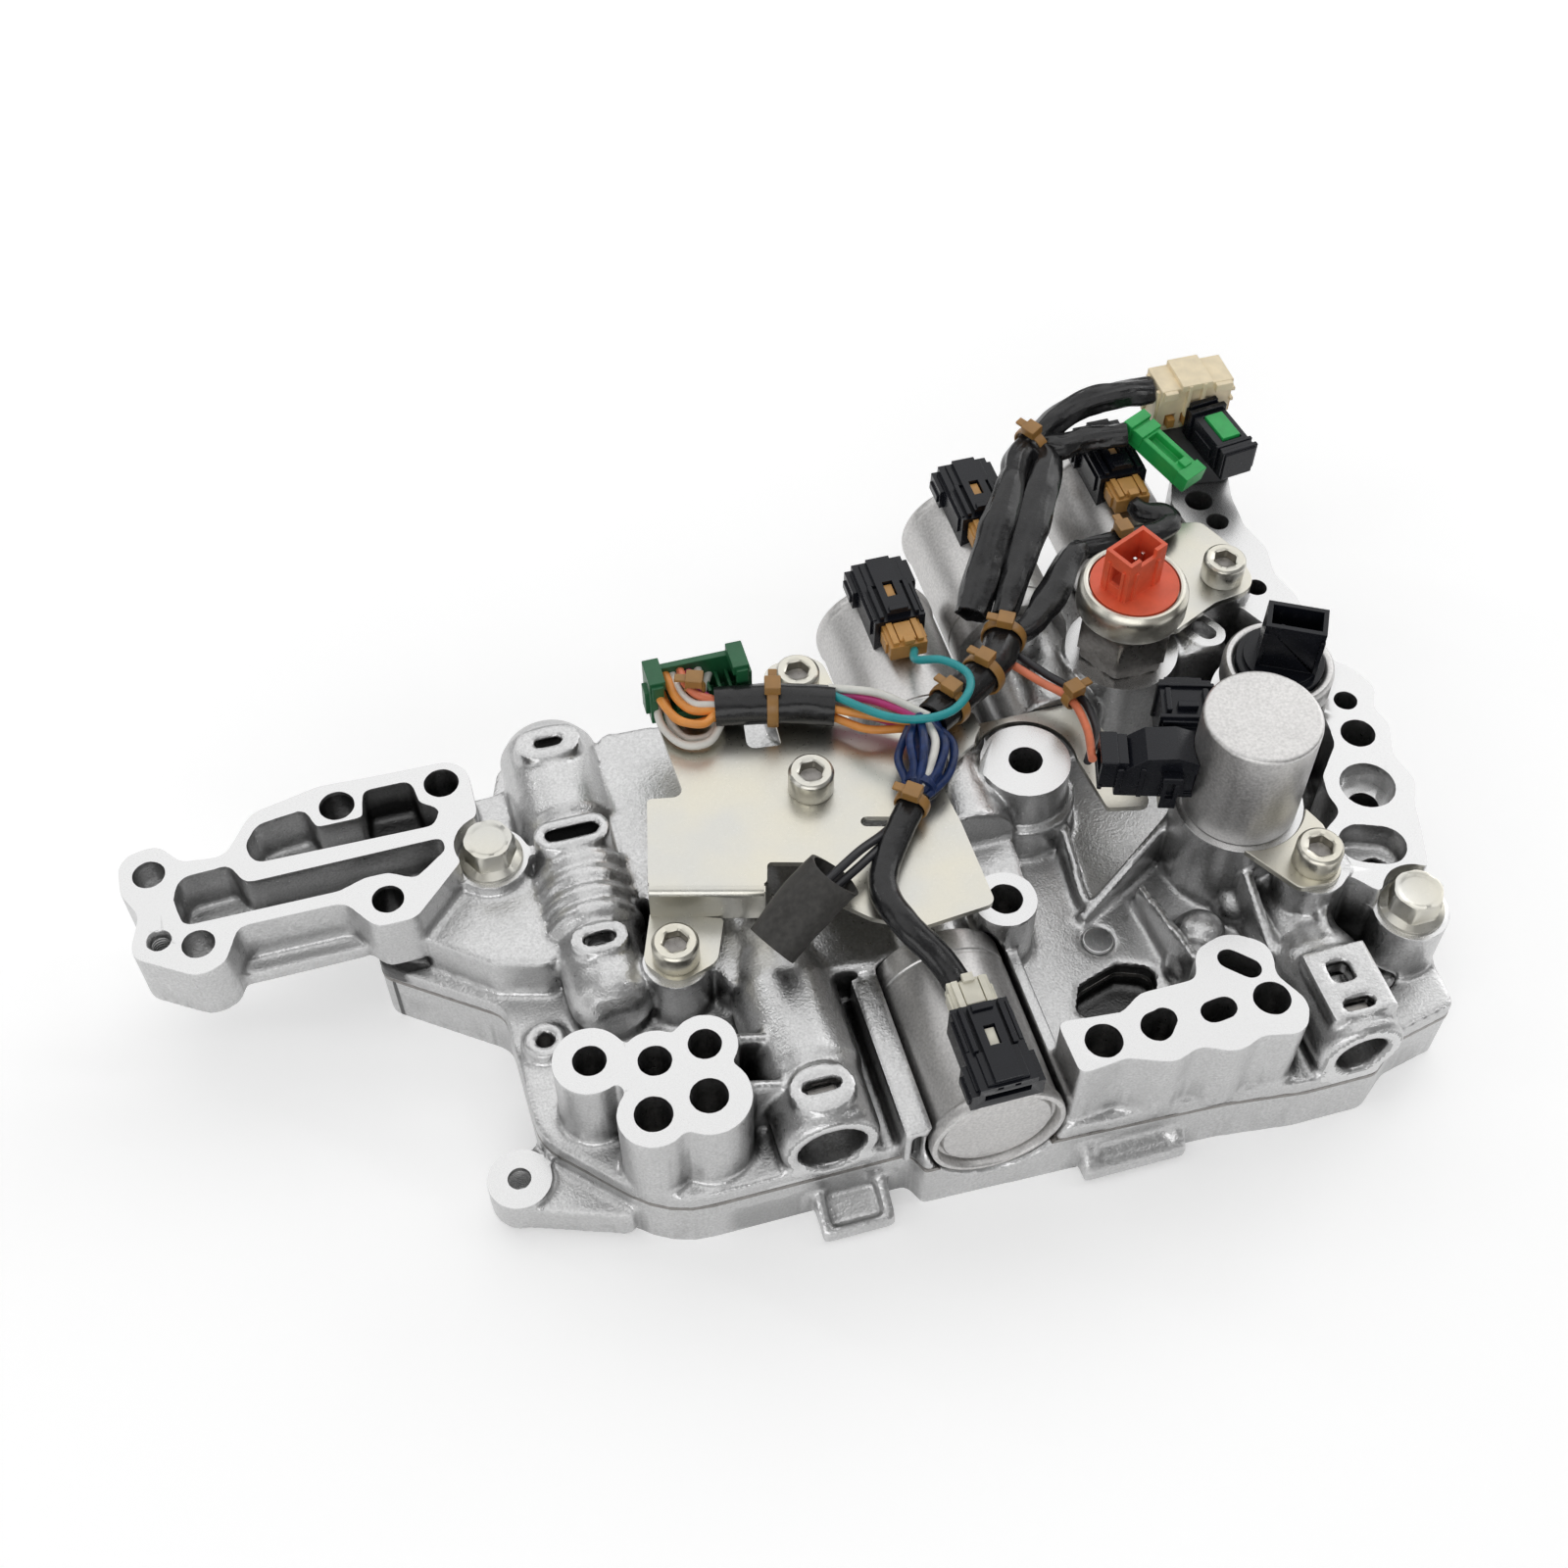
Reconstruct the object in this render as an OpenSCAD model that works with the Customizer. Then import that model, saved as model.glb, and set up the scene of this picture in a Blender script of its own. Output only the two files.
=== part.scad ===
// Hydraulic valve body of an automatic transmission: two castings with a separator plate,
// spool valves in ridges along Y, solenoids, pressure sensors and their wiring harness.
// X runs along the port arm, Y along the valve bores, Z up from the lower casting's face.

/* [Castings] */
// Height of the lower casting
lower_h = 14; // [12:0.5:16]
// Thickness of the separator plate between the castings
plate_t = 1.2; // [0.8:0.1:2]
// Thickness of the upper casting's floor
floor_t = 4; // [3:0.5:5]
// Height of the machined mating faces above the lower face
face_z = 40; // [39:0.5:42]
// Thickness of the port arm
arm_t = 16; // [13:0.5:17]
// Depth of the oil channels in the arm
channel_d = 11; // [6:0.5:12]
// Width of the cast ribs
rib_t = 2.2; // [1.5:0.1:3]
// Height of the deck that joins the valve ridges
deck_z = 31; // [28:0.5:33]

/* [Ports and holes] */
// Diameter of the bolt holes in the arm
arm_bolt_d = 7.7; // [6.6:0.1:8.4]
// Diameter of the small oil ports
small_port_d = 6.9; // [5:0.1:7.4]
// Diameter of the large oil ports
large_port_d = 7.8; // [6:0.1:8.4]
// Outer diameter of the ring boss
ring_boss_d = 20.2; // [18:0.2:22]
// Diameter of the hole in the ring boss
ring_bore_d = 7.6; // [6.6:0.1:9]
// Diameter of the tapped hole in the corner tab
tab_hole_d = 5; // [4:0.1:6.5]

/* [Valves] */
// Diameter of the left valve's lands
left_land_d = 11; // [9:0.5:12]
// Diameter of the centre valve's lands
centre_land_d = 12; // [10:0.5:12.5]
// Diameter of the right valve's lands
right_land_d = 9; // [8:0.5:10]
// Radial running clearance of the spools
spool_clear = 0.04; // [0.02:0.01:0.08]
// Length of each spool
spool_l = 30; // [26:1:34]
// Travel of each spool
spool_travel = 5; // [3:0.5:6]
// Wire diameter of the valve springs
spring_wire_d = 1; // [0.8:0.1:1.2]
// Thickness of the flat keys that hold the valve plugs
key_t = 2; // [1.5:0.1:2.4]

/* [Solenoids] */
// Diameter of a lying solenoid can
can_d = 28; // [26:0.5:29]
// Length of a lying solenoid can
can_l = 42; // [36:1:44]
// Diameter of a solenoid's valve nose
nose_d = 13; // [11:0.5:15]
// Length of a solenoid's valve nose
nose_l = 24; // [18:1:26]
// Width of a solenoid connector
plug_w = 12; // [10:0.5:14]
// Diameter of the standing solenoid can
standing_d = 25; // [23:0.5:26]
// Height of the standing solenoid can
standing_h = 29; // [24:1:34]

/* [Sensors] */
// Diameter of the sensors' crimped rings
sensor_ring_d = 25; // [23:0.5:26]
// Width across flats of the orange sensor's hexagon
sensor_hex = 18.5; // [17:0.5:20]
// Height of the sensor sockets
socket_h = 10; // [8:0.5:12]

/* [Sheet metal] */
// Thickness of the harness bracket
bracket_t = 1.4; // [1:0.1:2]
// Height of the harness bracket's main plate
bracket_z = 43; // [42:0.5:45]
// Thickness of the retainer plates
retainer_t = 1.6; // [1.2:0.1:2]

/* [Fasteners] */
// Nominal diameter of the screws and bolts
screw_d = 6; // [5:0.5:6.5]
// Diameter of a cap screw's head
cap_head_d = 10; // [9:0.2:10.6]
// Height of a cap screw's head
cap_head_h = 6; // [5:0.5:7]
// Width across flats of a flange bolt's head
bolt_hex = 10; // [8:0.5:11]
// Diameter of a flange bolt's washer flange
bolt_flange_d = 14; // [12:0.5:15]

/* [Harness] */
// Diameter of a single wire
wire_d = 1.9; // [1.4:0.1:2]
// Diameter of the large harness sleeves
sleeve_d = 9; // [8:0.5:10]
// Diameter of the slim harness sleeves
slim_d = 6; // [5:0.5:6.5]

/* [Hidden] */
$fn = 64;

arc_step = 12;
gap = 0.3;
slide_clear = 0.1;
body_z = lower_h + plate_t;
floor_z = body_z + floor_t;
root_z = body_z + floor_t / 2;
arm_z = face_z - arm_t;
high_z = face_z + 50;
can_r = can_d / 2;
nose_r = nose_d / 2;
ring_r = sensor_ring_d / 2;
standing_r = standing_d / 2;

// Places in plan
arm_bolts = [[-94.5, 24.5], [-71.5, 24.5]];
arm_ports = [[-87.5, -3], [-135.5, 17], [-127, -3.5]];
arm_tap = [-134.8, -0.4];
arm_tap_r = 2.2;
pad_ports = [[-55, -52.5], [-42.5, -56], [-32, -55], [-34, -66.5], [-45.5, -67.5]];
pad_port_d = [small_port_d, small_port_d, small_port_d, large_port_d, large_port_d];
pad_boss_r = [7.6, 7, 6.8, 8.6, 7.3];
block_ports = [[45, -76], [81.5, -76]];
ring_boss = [54.5, -4.5];
side_hole = [38.5, -36.5];
floor_hole = [-62, -34.5];
flange_ports = [[124, 61], [125.5, 53], [125.5, 30], [130.5, -8], [129, -17.5]];
flange_port_d = [small_port_d, 5.6, 5.2, 5.4, large_port_d];
flange_well = [124.5, -31.5];
corner_well = [118.4, -46.4];
kidney_pad = [108, 20.7];
tab_boss = [-73.5, -59.5];
gallery_lumps = [[93.2, -41.5], [81, -47.5], [76.5, -54.5]];
gallery_r = 6;
screw_bracket = [5.5, -2];
screw_ear = [-32, -30.5];
screw_rear = [10.5, 26.2];
screw_sensor = [116.5, 32];
screw_standing = [103.5, -48.5];
bolt_left = [-64.5, 6];
bolt_right = [122, -60.5];
standing = [95, -28.3];
orange_sensor = [87.5, 21];
black_sensor = [115.5, -0.5];
oil_plug_at = [60, -41.5];
oil_plug_d = 7;
dowel_at = [[-80, 15], [115, -66]];
dowel_d = 8;
dowel_l = 10;

// Heights of the seats
ear_z = bracket_z - 9;
low_plate_z = bracket_z - 5;
bolt_boss_z = 34;
side_boss_z = 37;
sensor_seat_z = 40;
black_seat_z = 38;
standing_seat_z = face_z + 1;
standing_plate_z = face_z + 0.4;
retainer_z = 43;
housing_h = 7;

// Screws: hole sizes and seats as [x, y, height of the head's underside]
screw_l = 11;
screw_hole_r = screw_d / 2 + slide_clear;
plate_hole_r = screw_d / 2 + gap;
cap_screw_seats = [
  [screw_bracket.x, screw_bracket.y, bracket_z + bracket_t], [screw_ear.x, screw_ear.y, ear_z + bracket_t],
  [screw_rear.x, screw_rear.y, bracket_z + bracket_t],
  [screw_sensor.x, screw_sensor.y, retainer_z + retainer_t],
  [screw_standing.x, screw_standing.y, standing_plate_z + retainer_t]
];
flange_bolt_seats = [for (b = [bolt_left, bolt_right]) [b.x, b.y, bolt_boss_z]];

// Valve axes: place across X and height, outer radius and open end of each ridge
left_x = -46.5;
left_z = 26.5;
left_r = 11.2;
left_back_y = 41;
centre_x = -11.5;
centre_z = 25;
centre_r = 10.6;
centre_front_y = -77;
right_x = 101;
right_z = 24;
right_r = 9.8;
right_front_y = -86;

// Valves along Y: spools at rest, springs, end plugs and their keys
plug_l = 9;
bore_end = 0.6;
left_spool_y = -27;
left_spring_l = 23;
left_plug_y = left_spool_y + spool_l + left_spring_l + 2 * gap;
left_plug_r = left_land_d / 2 + 1.4;
left_key_y = left_plug_y + plug_l / 2;
centre_spool_y = -40;
centre_spring_l = 17.4;
centre_plug_y = centre_spool_y - centre_spring_l - 2 * gap - plug_l;
centre_plug_r = centre_land_d / 2 + 1;
centre_key_y = centre_plug_y - key_t / 2 - gap;
right_spool_y = -50;
right_spring_l = 18;
right_plug_y = right_spool_y - right_spring_l - 2 * gap - plug_l;
right_plug_r = right_land_d / 2 + 1;
right_key_y = right_plug_y - key_t / 2 - gap;
left_slots_y = [5.5, -22.5];
right_window_y = -71;

// Stepped outer forms of the valve ridges, as [radius, y]
left_profile = [
  [0, -38], [4.6, -37.6], [7.4, -35.6], [9, -32.8], [9.4, -30], [9.4, -17], [10.4, -15.5], [10.4, -12],
  [9.6, -11], [9.6, -8], [10.6, -7], [10.6, -3], [9.8, -2], [9.8, 11], [left_r, 13], [left_r, 36.5],
  [8.6, 40.4], [0, left_back_y]
];
centre_profile = [
  [0, centre_front_y], [9.6, centre_front_y], [centre_r, centre_front_y + 1.5], [centre_r, -62],
  [11.4, -60], [11.4, -40], [9.5, -32], [8.6, -30], [8.6, -8], [0, -7]
];
right_profile = [
  [0, right_front_y], [8.6, right_front_y], [right_r, right_front_y + 1.4], [right_r, -62],
  [8, -57], [8, -18], [0, -17]
];

// Solenoid axes: [x, z, y of the can's end next to the casting, direction of the can along Y]
front_solenoid = [22.3, 23, -40, -1];
rear_left_solenoid = [37, 30, 10, 1];
rear_middle_solenoid = [67, 30, 36, 1];
rear_right_solenoid = [104.5, 28, 42, 1];
lying_solenoids = [front_solenoid, rear_left_solenoid, rear_middle_solenoid, rear_right_solenoid];
trough_r = can_r + 1;
standing_nose_l = 10;
connector_l = 19;
connector_y = can_l - 18.5;
can_profile = [
  [0, 0], [can_r - 0.8, 0], [can_r, 0.8], [can_r, can_l - 3], [can_r + 0.5, can_l - 2.5],
  [can_r + 0.5, can_l - 0.4], [can_r + 0.1, can_l], [can_r - 1.4, can_l], [can_r - 1.4, can_l - 1.5],
  [0, can_l - 1.5]
];
// Valve nose with seal grooves, as [radius, distance from the can]
nose_profile = [
  [0, 0], [nose_r, 0], [nose_r, 3], [nose_r - 1.2, 3], [nose_r - 1.2, 4.6], [nose_r, 4.6], [nose_r, 11],
  [nose_r - 1.2, 11], [nose_r - 1.2, 12.6], [nose_r, 12.6], [nose_r, nose_l - 1], [nose_r - 1, nose_l],
  [0, nose_l]
];
seal_at = [3.8, 11.8];

// Sensor shanks
shank_r = 6;
shank_l = 12;

// Harness routes through round points
slim_r = slim_d / 2;
sleeve_r = sleeve_d / 2;
wire_r = wire_d / 2;
main_sleeve = [[-9.8, 21, 50], [2.6, 18.3, 50.4], [15.6, 14.2, 50]];
dark_sleeve = [[60, 26.2, 49.3], [54.4, 17.6, 49.7], [46, 11.4, 50], [35.8, 5.1, 50.2]];
rear_sleeve = [[84.6, 78.4, 53], [92, 82.5, 54.5], [100, 84.5, 57], [110, 84.5, 58], [118, 84, 57]];
flat_sleeve_a = [
  [78.6, 72.4, 53.8], [73.6, 63.2, 55.8], [66.6, 52, 55.2], [59.6, 41, 51.8], [53.8, 31.8, 49.6]
];
flat_sleeve_b = [
  [86, 70.6, 53], [80.6, 61.8, 53], [74.2, 51.3, 52.6], [66.8, 39.3, 50.8], [60.4, 28.9, 49.6]
];
stub_sleeve = [[91.2, 74.2, 54.2], [99.2, 74.2, 55.2], [106.2, 72.6, 56]];
rear_slim = [[85.4, 44.7, 49.4], [81.8, 42.4, 50.2], [73, 31.9, 49.6], [68.6, 27.4, 49.3]];
side_slim = [
  [104.5, 57.4, 46.8], [105.4, 54.6, 47.2], [109.4, 52.4, 47.6], [110.4, 49, 48], [105.5, 46.2, 48.4],
  [96, 45.6, 48.8], [86.9, 45.5, 49.2]
];
front_slim = [
  [25.5, -13.5, 48.9], [15.2, -26.3, 47.6], [11.8, -34.5, 47.6], [13.6, -43, 47.2], [18.6, -50.5, 43.4],
  [20.8, -55, 41.6]
];
open_r = 5.8;
open_route = [[-13.5, -38.4, 43.4], [-4.4, -33.4, 48.8], [4, -29.6, 52.4]];
open_bore = [[-14.4, -38.9, 42.9], [-4.4, -33.4, 48.8], [4.9, -29.2, 52.8]];
bundle_route = [[32, 2.7, 49.8], [30, -5.6, 49.8], [26, -12.6, 49.6]];
orange_routes = [
  [[15.4, 11.3, 49], [21, 6.6, 49], [28.4, 4.7, 49]],
  [[15.6, 11.9, 51.3], [21.6, 8.4, 51.4], [29.2, 4.5, 51.5]],
  [[-10.9, 18.6, 49.4], [-15.5, 18.2, 49.5], [-19.4, 21, 50], [-20.3, 29.6, 50.5]]
];
white_routes = [
  [[17.1, 16.8, 49.4], [25.4, 12.4, 50], [33, 3.7, 50]],
  [[-10.6, 20.3, 52], [-14.4, 21, 52.6], [-16.6, 24.6, 52.8], [-17, 29.6, 52.8]],
  [[-10.9, 23.4, 49.6], [-11.6, 25.6, 50], [-9.6, 29.4, 50.2]]
];
pink_routes = [
  [[16.7, 15.7, 51.6], [24, 11.4, 52.2], [31.6, 4.2, 52.6]],
  [[16.3, 14.2, 48.4], [24.4, 10, 47.8], [31.4, 4.2, 47.4]],
  [[-10.9, 22.4, 51.8], [-13, 25, 52.4], [-13.4, 29.6, 52.6]]
];
teal_route = [
  [38, 26, 48.6], [36.5, 20.5, 52], [41, 16, 55.4], [44.5, 10, 56.6], [43, 4.6, 57], [37.5, 0.6, 56.6],
  [30, 0.8, 56.2], [23.4, 5, 55], [16.3, 13.8, 53]
];
salmon_route = [[59.6, 15, 47.5], [63, 10.6, 47], [67.6, 4, 47], [67, -6.5, 49.5], [63.6, -16.7, 53.8]];
black_route = [[61.8, 17.4, 47.3], [65, 12.6, 46.8], [70, 4.5, 46.8], [69.4, -6.9, 48], [64.2, -14.8, 50.6]];

// Ties: [centre, sleeve radius, turn about Z, rise]
tie_t = 1;
tie_w = 3;
tie_clear = 0.2;
ties = [
  [[2.6, 18.3, 50.4], sleeve_r, -15, 0], [[58.5, 23.6, 49.4], sleeve_r - 0.3, 58, 0],
  [[50.2, 14.1, 49.85], sleeve_r - 0.3, 40, 0], [[40.2, 7.8, 50.1], sleeve_r - 0.3, 33, 0],
  [[85.1, 78.7, 53.1], slim_r + 0.4, 29, 10],
  [[96, 45.6, 48.8], slim_r - 0.4, 4.5, 0], [[24, -15.3, 48.7], slim_r - 0.2, 50.5, 4]
];

cast_colour = [0.70, 0.71, 0.72];
steel_colour = [0.72, 0.72, 0.70];
zinc_colour = [0.78, 0.76, 0.66];
black_colour = [0.06, 0.06, 0.07];

function unit(v) = v / norm(v);

// Polygon of [x, y, corner radius] points, counter-clockwise, with its corners rounded in short steps
module rounded_polygon(corners) {
  n = len(corners);
  at = [for (c = corners) [c.x, c.y]];
  back = [for (i = [0:n - 1]) unit(at[(i + n - 1) % n] - at[i])];
  ahead = [for (i = [0:n - 1]) unit(at[(i + 1) % n] - at[i])];
  polygon([for (i = [0:n - 1]) each corner_points(at[i], back[i], ahead[i], corners[i].z)]);
}

// Points of a rounded corner between two edges
function corner_points(at, back, ahead, r) =
  let (half = acos(back * ahead) / 2)
  let (centre = at + unit(back + ahead) * r / sin(half), first = at + back * r / tan(half) - centre)
  let (turn = (180 - 2 * half) * (back.y * ahead.x - back.x * ahead.y > 0 ? 1 : -1))
  let (steps = max(1, ceil(abs(turn) / arc_step)), start = atan2(first.y, first.x))
  [for (k = [0:steps]) centre + r * [cos(start + turn * k / steps), sin(start + turn * k / steps)]];

module prism(z0, z1) translate([0, 0, z0]) linear_extrude(z1 - z0) children();

module post(at, r, z0, z1) translate([at.x, at.y, z0]) cylinder(r = r, h = z1 - z0);

// Turned shape about an axis along Y, from a profile of [radius, y] points
module turned(x, z, profile) {
  translate([x, 0, z]) rotate([-90, 0, 0]) rotate_extrude() polygon(profile);
}

module rod(x, z, r, y0, y1) translate([x, y0, z]) rotate([-90, 0, 0]) cylinder(r = r, h = y1 - y0);

module slot_2d(length, width) {
  square([length - width, width], center = true);
  for (side = [-1, 1]) translate([side * (length - width) / 2, 0]) circle(width / 2);
}

// Castings

module body_outline() {
  rounded_polygon([
    [-46, -77.5, 22], [5, -77.5, 2], [7, -82, 1], [39, -83, 1], [73, -84.5, 3], [90, -86.5, 4],
    [106, -86.5, 4], [114, -80.5, 5], [128, -77.5, 2], [130, -50, 6], [137, -20, 8], [139, -2, 8],
    [135, 30, 8], [135.5, 72, 6], [122, 80, 5], [88, 62, 5], [82, 47, 4], [52, 40, 4], [50, 20, 4],
    [20, 34, 4], [-34, 38, 3], [-37, 42.5, 3], [-58, 42.5, 4], [-62, 31, 4], [-92, 26, 5],
    [-93, -5, 4], [-69, -22.5, 6], [-68, -55, 12]
  ]);
}

module arm_outline() {
  rounded_polygon([
    [-141.2, -3, 4], [-127.5, -11.8, 5], [-122, -9.5, 3], [-118.5, -1.4, 3], [-96.5, -1.4, 4],
    [-91, -9.4, 4], [-82.5, -9.4, 4], [-70, 3.5, 4], [-65.2, 15, 4], [-65.2, 30.2, 6], [-80, 30.4, 5],
    [-98, 31, 6], [-113, 27.5, 6], [-119.5, 17.6, 4], [-128.6, 18.6, 3], [-133, 24.4, 4],
    [-141.8, 23.2, 5], [-141.8, 13.5, 4], [-138.4, 7, 3]
  ]);
}

// Oil channel behind the arm's dividing wall
module upper_channel() {
  rounded_polygon([
    [-113.5, 14, 2.5], [-75, 13.5, 1.5], [-73, 17.5, 1.5], [-77, 20.5, 1], [-78, 27, 2],
    [-88.5, 27, 1.5], [-89.5, 19.8, 1], [-99.5, 19.8, 1], [-101.5, 25.4, 2], [-112, 24, 4], [-115, 19, 3]
  ]);
}

// Oil channel in front of the arm's dividing wall
module lower_channel() {
  rounded_polygon([
    [-129.6, 1.9, 2], [-97, 1.9, 4], [-91.5, 3.8, 3], [-86.5, 3.8, 1.5], [-81, 0.8, 1.5], [-73.5, 6.5, 1.5],
    [-74, 9.8, 1], [-116, 9.2, 3], [-118.8, 14.8, 2], [-129.5, 14.4, 3.5], [-131, 9, 3]
  ]);
}

module pad_outline() {
  for (i = [0:len(pad_ports) - 1]) translate(pad_ports[i]) circle(pad_boss_r[i]);
  polygon(pad_ports);
}

module block_outline() {
  rounded_polygon([
    [37.8, -82, 1.5], [48, -81, 3], [57, -84.6, 6], [63, -82.4, 4], [70, -86, 6], [76, -83.6, 4],
    [85, -85.6, 4.5], [88.6, -79, 5], [84.6, -71, 3], [87, -64, 5], [79, -58.6, 7], [70.8, -61, 5],
    [68.6, -67.6, 2.5], [56, -67.6, 5], [51, -70.8, 3], [37.4, -69.4, 1.5]
  ]);
}

module flange_outline() {
  rounded_polygon([
    [109.5, -52, 3], [114.5, -58.5, 3], [127, -56, 4], [130.6, -45, 4], [132.2, -39, 3], [135.4, -33, 3],
    [133.8, -25.4, 3], [137, -17, 4], [135.8, -11.6, 2], [139, -6, 4], [136, 1, 3], [133, 4, 3],
    [133.6, 25, 4], [131.6, 33, 4], [133.4, 41, 4], [131.4, 50, 4], [132.4, 60, 3], [135.4, 70, 4],
    [124, 78, 5], [117, 62, 4], [119, 45, 4], [118, 28, 4], [126.5, 10, 4], [124.4, -9, 3],
    [122.6, -19, 3], [116, -26.5, 3], [114.8, -32, 3], [115.8, -36.5, 3], [109, -41, 3]
  ]);
}

module deck_outline() {
  rounded_polygon([
    [-37, -6, 2], [-22, -38, 4], [36, -44, 3], [46, -36, 3], [48, -14, 4], [46, 4, 3], [22, 8, 3],
    [18, 32, 3], [-35, 36, 3]
  ]);
}

// A valve ridge: a stepped turned form on straight walls that stop below its axis
module ridge(x, z, profile, r, y0, y1) {
  turned(x, z, profile);
  translate([x - r * 0.94, y0, root_z]) cube([2 * r * 0.94, y1 - y0, z - 1.3 - root_z]);
}

// An upright prism with rounded ends, for the pads on a ridge and the key slots in them
module flat_slot(x, y, length, width, z0, z1) {
  translate([x, y, z0]) linear_extrude(z1 - z0) slot_2d(length, width);
}

// Housing of a solenoid's nose, next to its can
module nose_block(s) {
  on_solenoid(s) {
    rotate([90, 0, 0]) cylinder(r = nose_r + 5, h = nose_l + 3);
    box([-nose_r - 4.6, -nose_l - 2.5, root_z - s[1]], [nose_r + 4.6, -0.5, -1.3]);
  }
}

module on_solenoid(s) {
  translate([s[0], s[2], s[1]]) rotate([0, 0, s[3] > 0 ? 0 : 180]) children();
}

// Upright rib between two places in plan, with its height at each
module rib(a, b, za, zb) {
  l = norm(b - a);
  translate([a.x, a.y, 0]) rotate([90, 0, atan2(b.y - a.y, b.x - a.x)]) translate([0, 0, -rib_t / 2]) {
    linear_extrude(rib_t) polygon([[0, root_z], [l, root_z], [l, zb], [0, za]]);
  }
}

module box(low, high) translate(low) cube(high - low);

module upper_solids() {
  prism(body_z, floor_z) body_outline();
  prism(arm_z, face_z) arm_outline();
  prism(root_z, arm_z + 2) {
    polygon([[-91, -3], [-84, -6.5], [-60, -16], [-52, -16], [-52, 30], [-66, 29], [-91, 24]]);
  }
  prism(root_z, 31) {
    rounded_polygon([[-83, -8, 2], [-69.5, -19, 3], [-56, -23, 3], [-52, 0, 2], [-72, 3, 3]]);
  }
  post(bolt_left, 8.2, root_z, bolt_boss_z);
  post(bolt_right, 8.2, root_z, bolt_boss_z);
  prism(root_z, deck_z) deck_outline();
  ridge(left_x, left_z, left_profile, 9.4, -29, 38);
  post([left_x, -29], 8.8, root_z, left_z - 1.3);
  ridge(centre_x, centre_z, centre_profile, centre_r, centre_front_y + 1, -36);
  ridge(right_x, right_z, right_profile, right_r, right_front_y + 1, -60);
  box([right_x - 7.5, -60, root_z], [right_x + 7.5, -30, right_z - 1.3]);
  flat_slot(left_x, left_key_y, 15, 9, left_z, left_z + left_r + 1);
  flat_slot(left_x, left_slots_y[0], 17, 8.4, left_z, left_z + left_r + 0.6);
  flat_slot(left_x, left_slots_y[1], 12.5, 7.6, left_z, left_z + left_r - 0.4);
  flat_slot(centre_x, centre_key_y - 0.5, 13.5, 11, centre_z, centre_z + centre_r + 1);
  box([right_x - 7, right_key_y - 3, root_z], [right_x + 7.5, right_window_y + 6, right_z + right_r + 0.6]);
  prism(root_z, face_z) pad_outline();
  prism(root_z, face_z) block_outline();
  prism(root_z, face_z) flange_outline();
  post(ring_boss, ring_boss_d / 2, root_z, face_z);
  post(ring_boss, ring_boss_d / 2 + 2.2, root_z, deck_z - 2);
  post(side_hole, 7, root_z, side_boss_z);
  post(screw_bracket, 7, root_z, bracket_z);
  post(screw_rear, 6.6, root_z, bracket_z);
  post(screw_ear, 7, root_z, ear_z);
  post(screw_sensor, 7, root_z, retainer_z);
  post(screw_standing, 7.2, root_z, standing_plate_z);
  post(standing, standing_r + 1.6, root_z, standing_seat_z);
  post(orange_sensor, ring_r + 0.6, root_z, sensor_seat_z);
  post(black_sensor, ring_r + 1, root_z, black_seat_z);
  prism(root_z, face_z) translate(kidney_pad) rotate(-60) slot_2d(11, 8);
  for (s = lying_solenoids) nose_block(s);
  box([2.6, -80.4, root_z], [8.4, -42, 29]);
  box([36.4, -80, root_z], [39.6, -44, 28]);
  rib([-25, -53.5], [-16, -53], 37, 33);
  rib([-25, -64.5], [-16, -64.5], 37, 33);
  rib([58, -36], [88, -20], 21, 36);
  rib([60, -33], [62, -6], 22, 30);
  rib([72, -34], [74, -60], 26, 33);
  rib([92, -40], [92, -60], 36, 28);
  rib([104, -52], [102, -64], 36, 32);
  post(floor_hole, 4.6, root_z, floor_z + 3);
  for (p = gallery_lumps) translate([p.x, p.y, floor_z + 2]) sphere(gallery_r);
  prism(arm_z, arm_z + 4) rounded_polygon([[-120, -6, 1.5], [-94, -5.6, 1.5], [-92, 2, 1], [-122, 2, 1]]);
}

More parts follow.
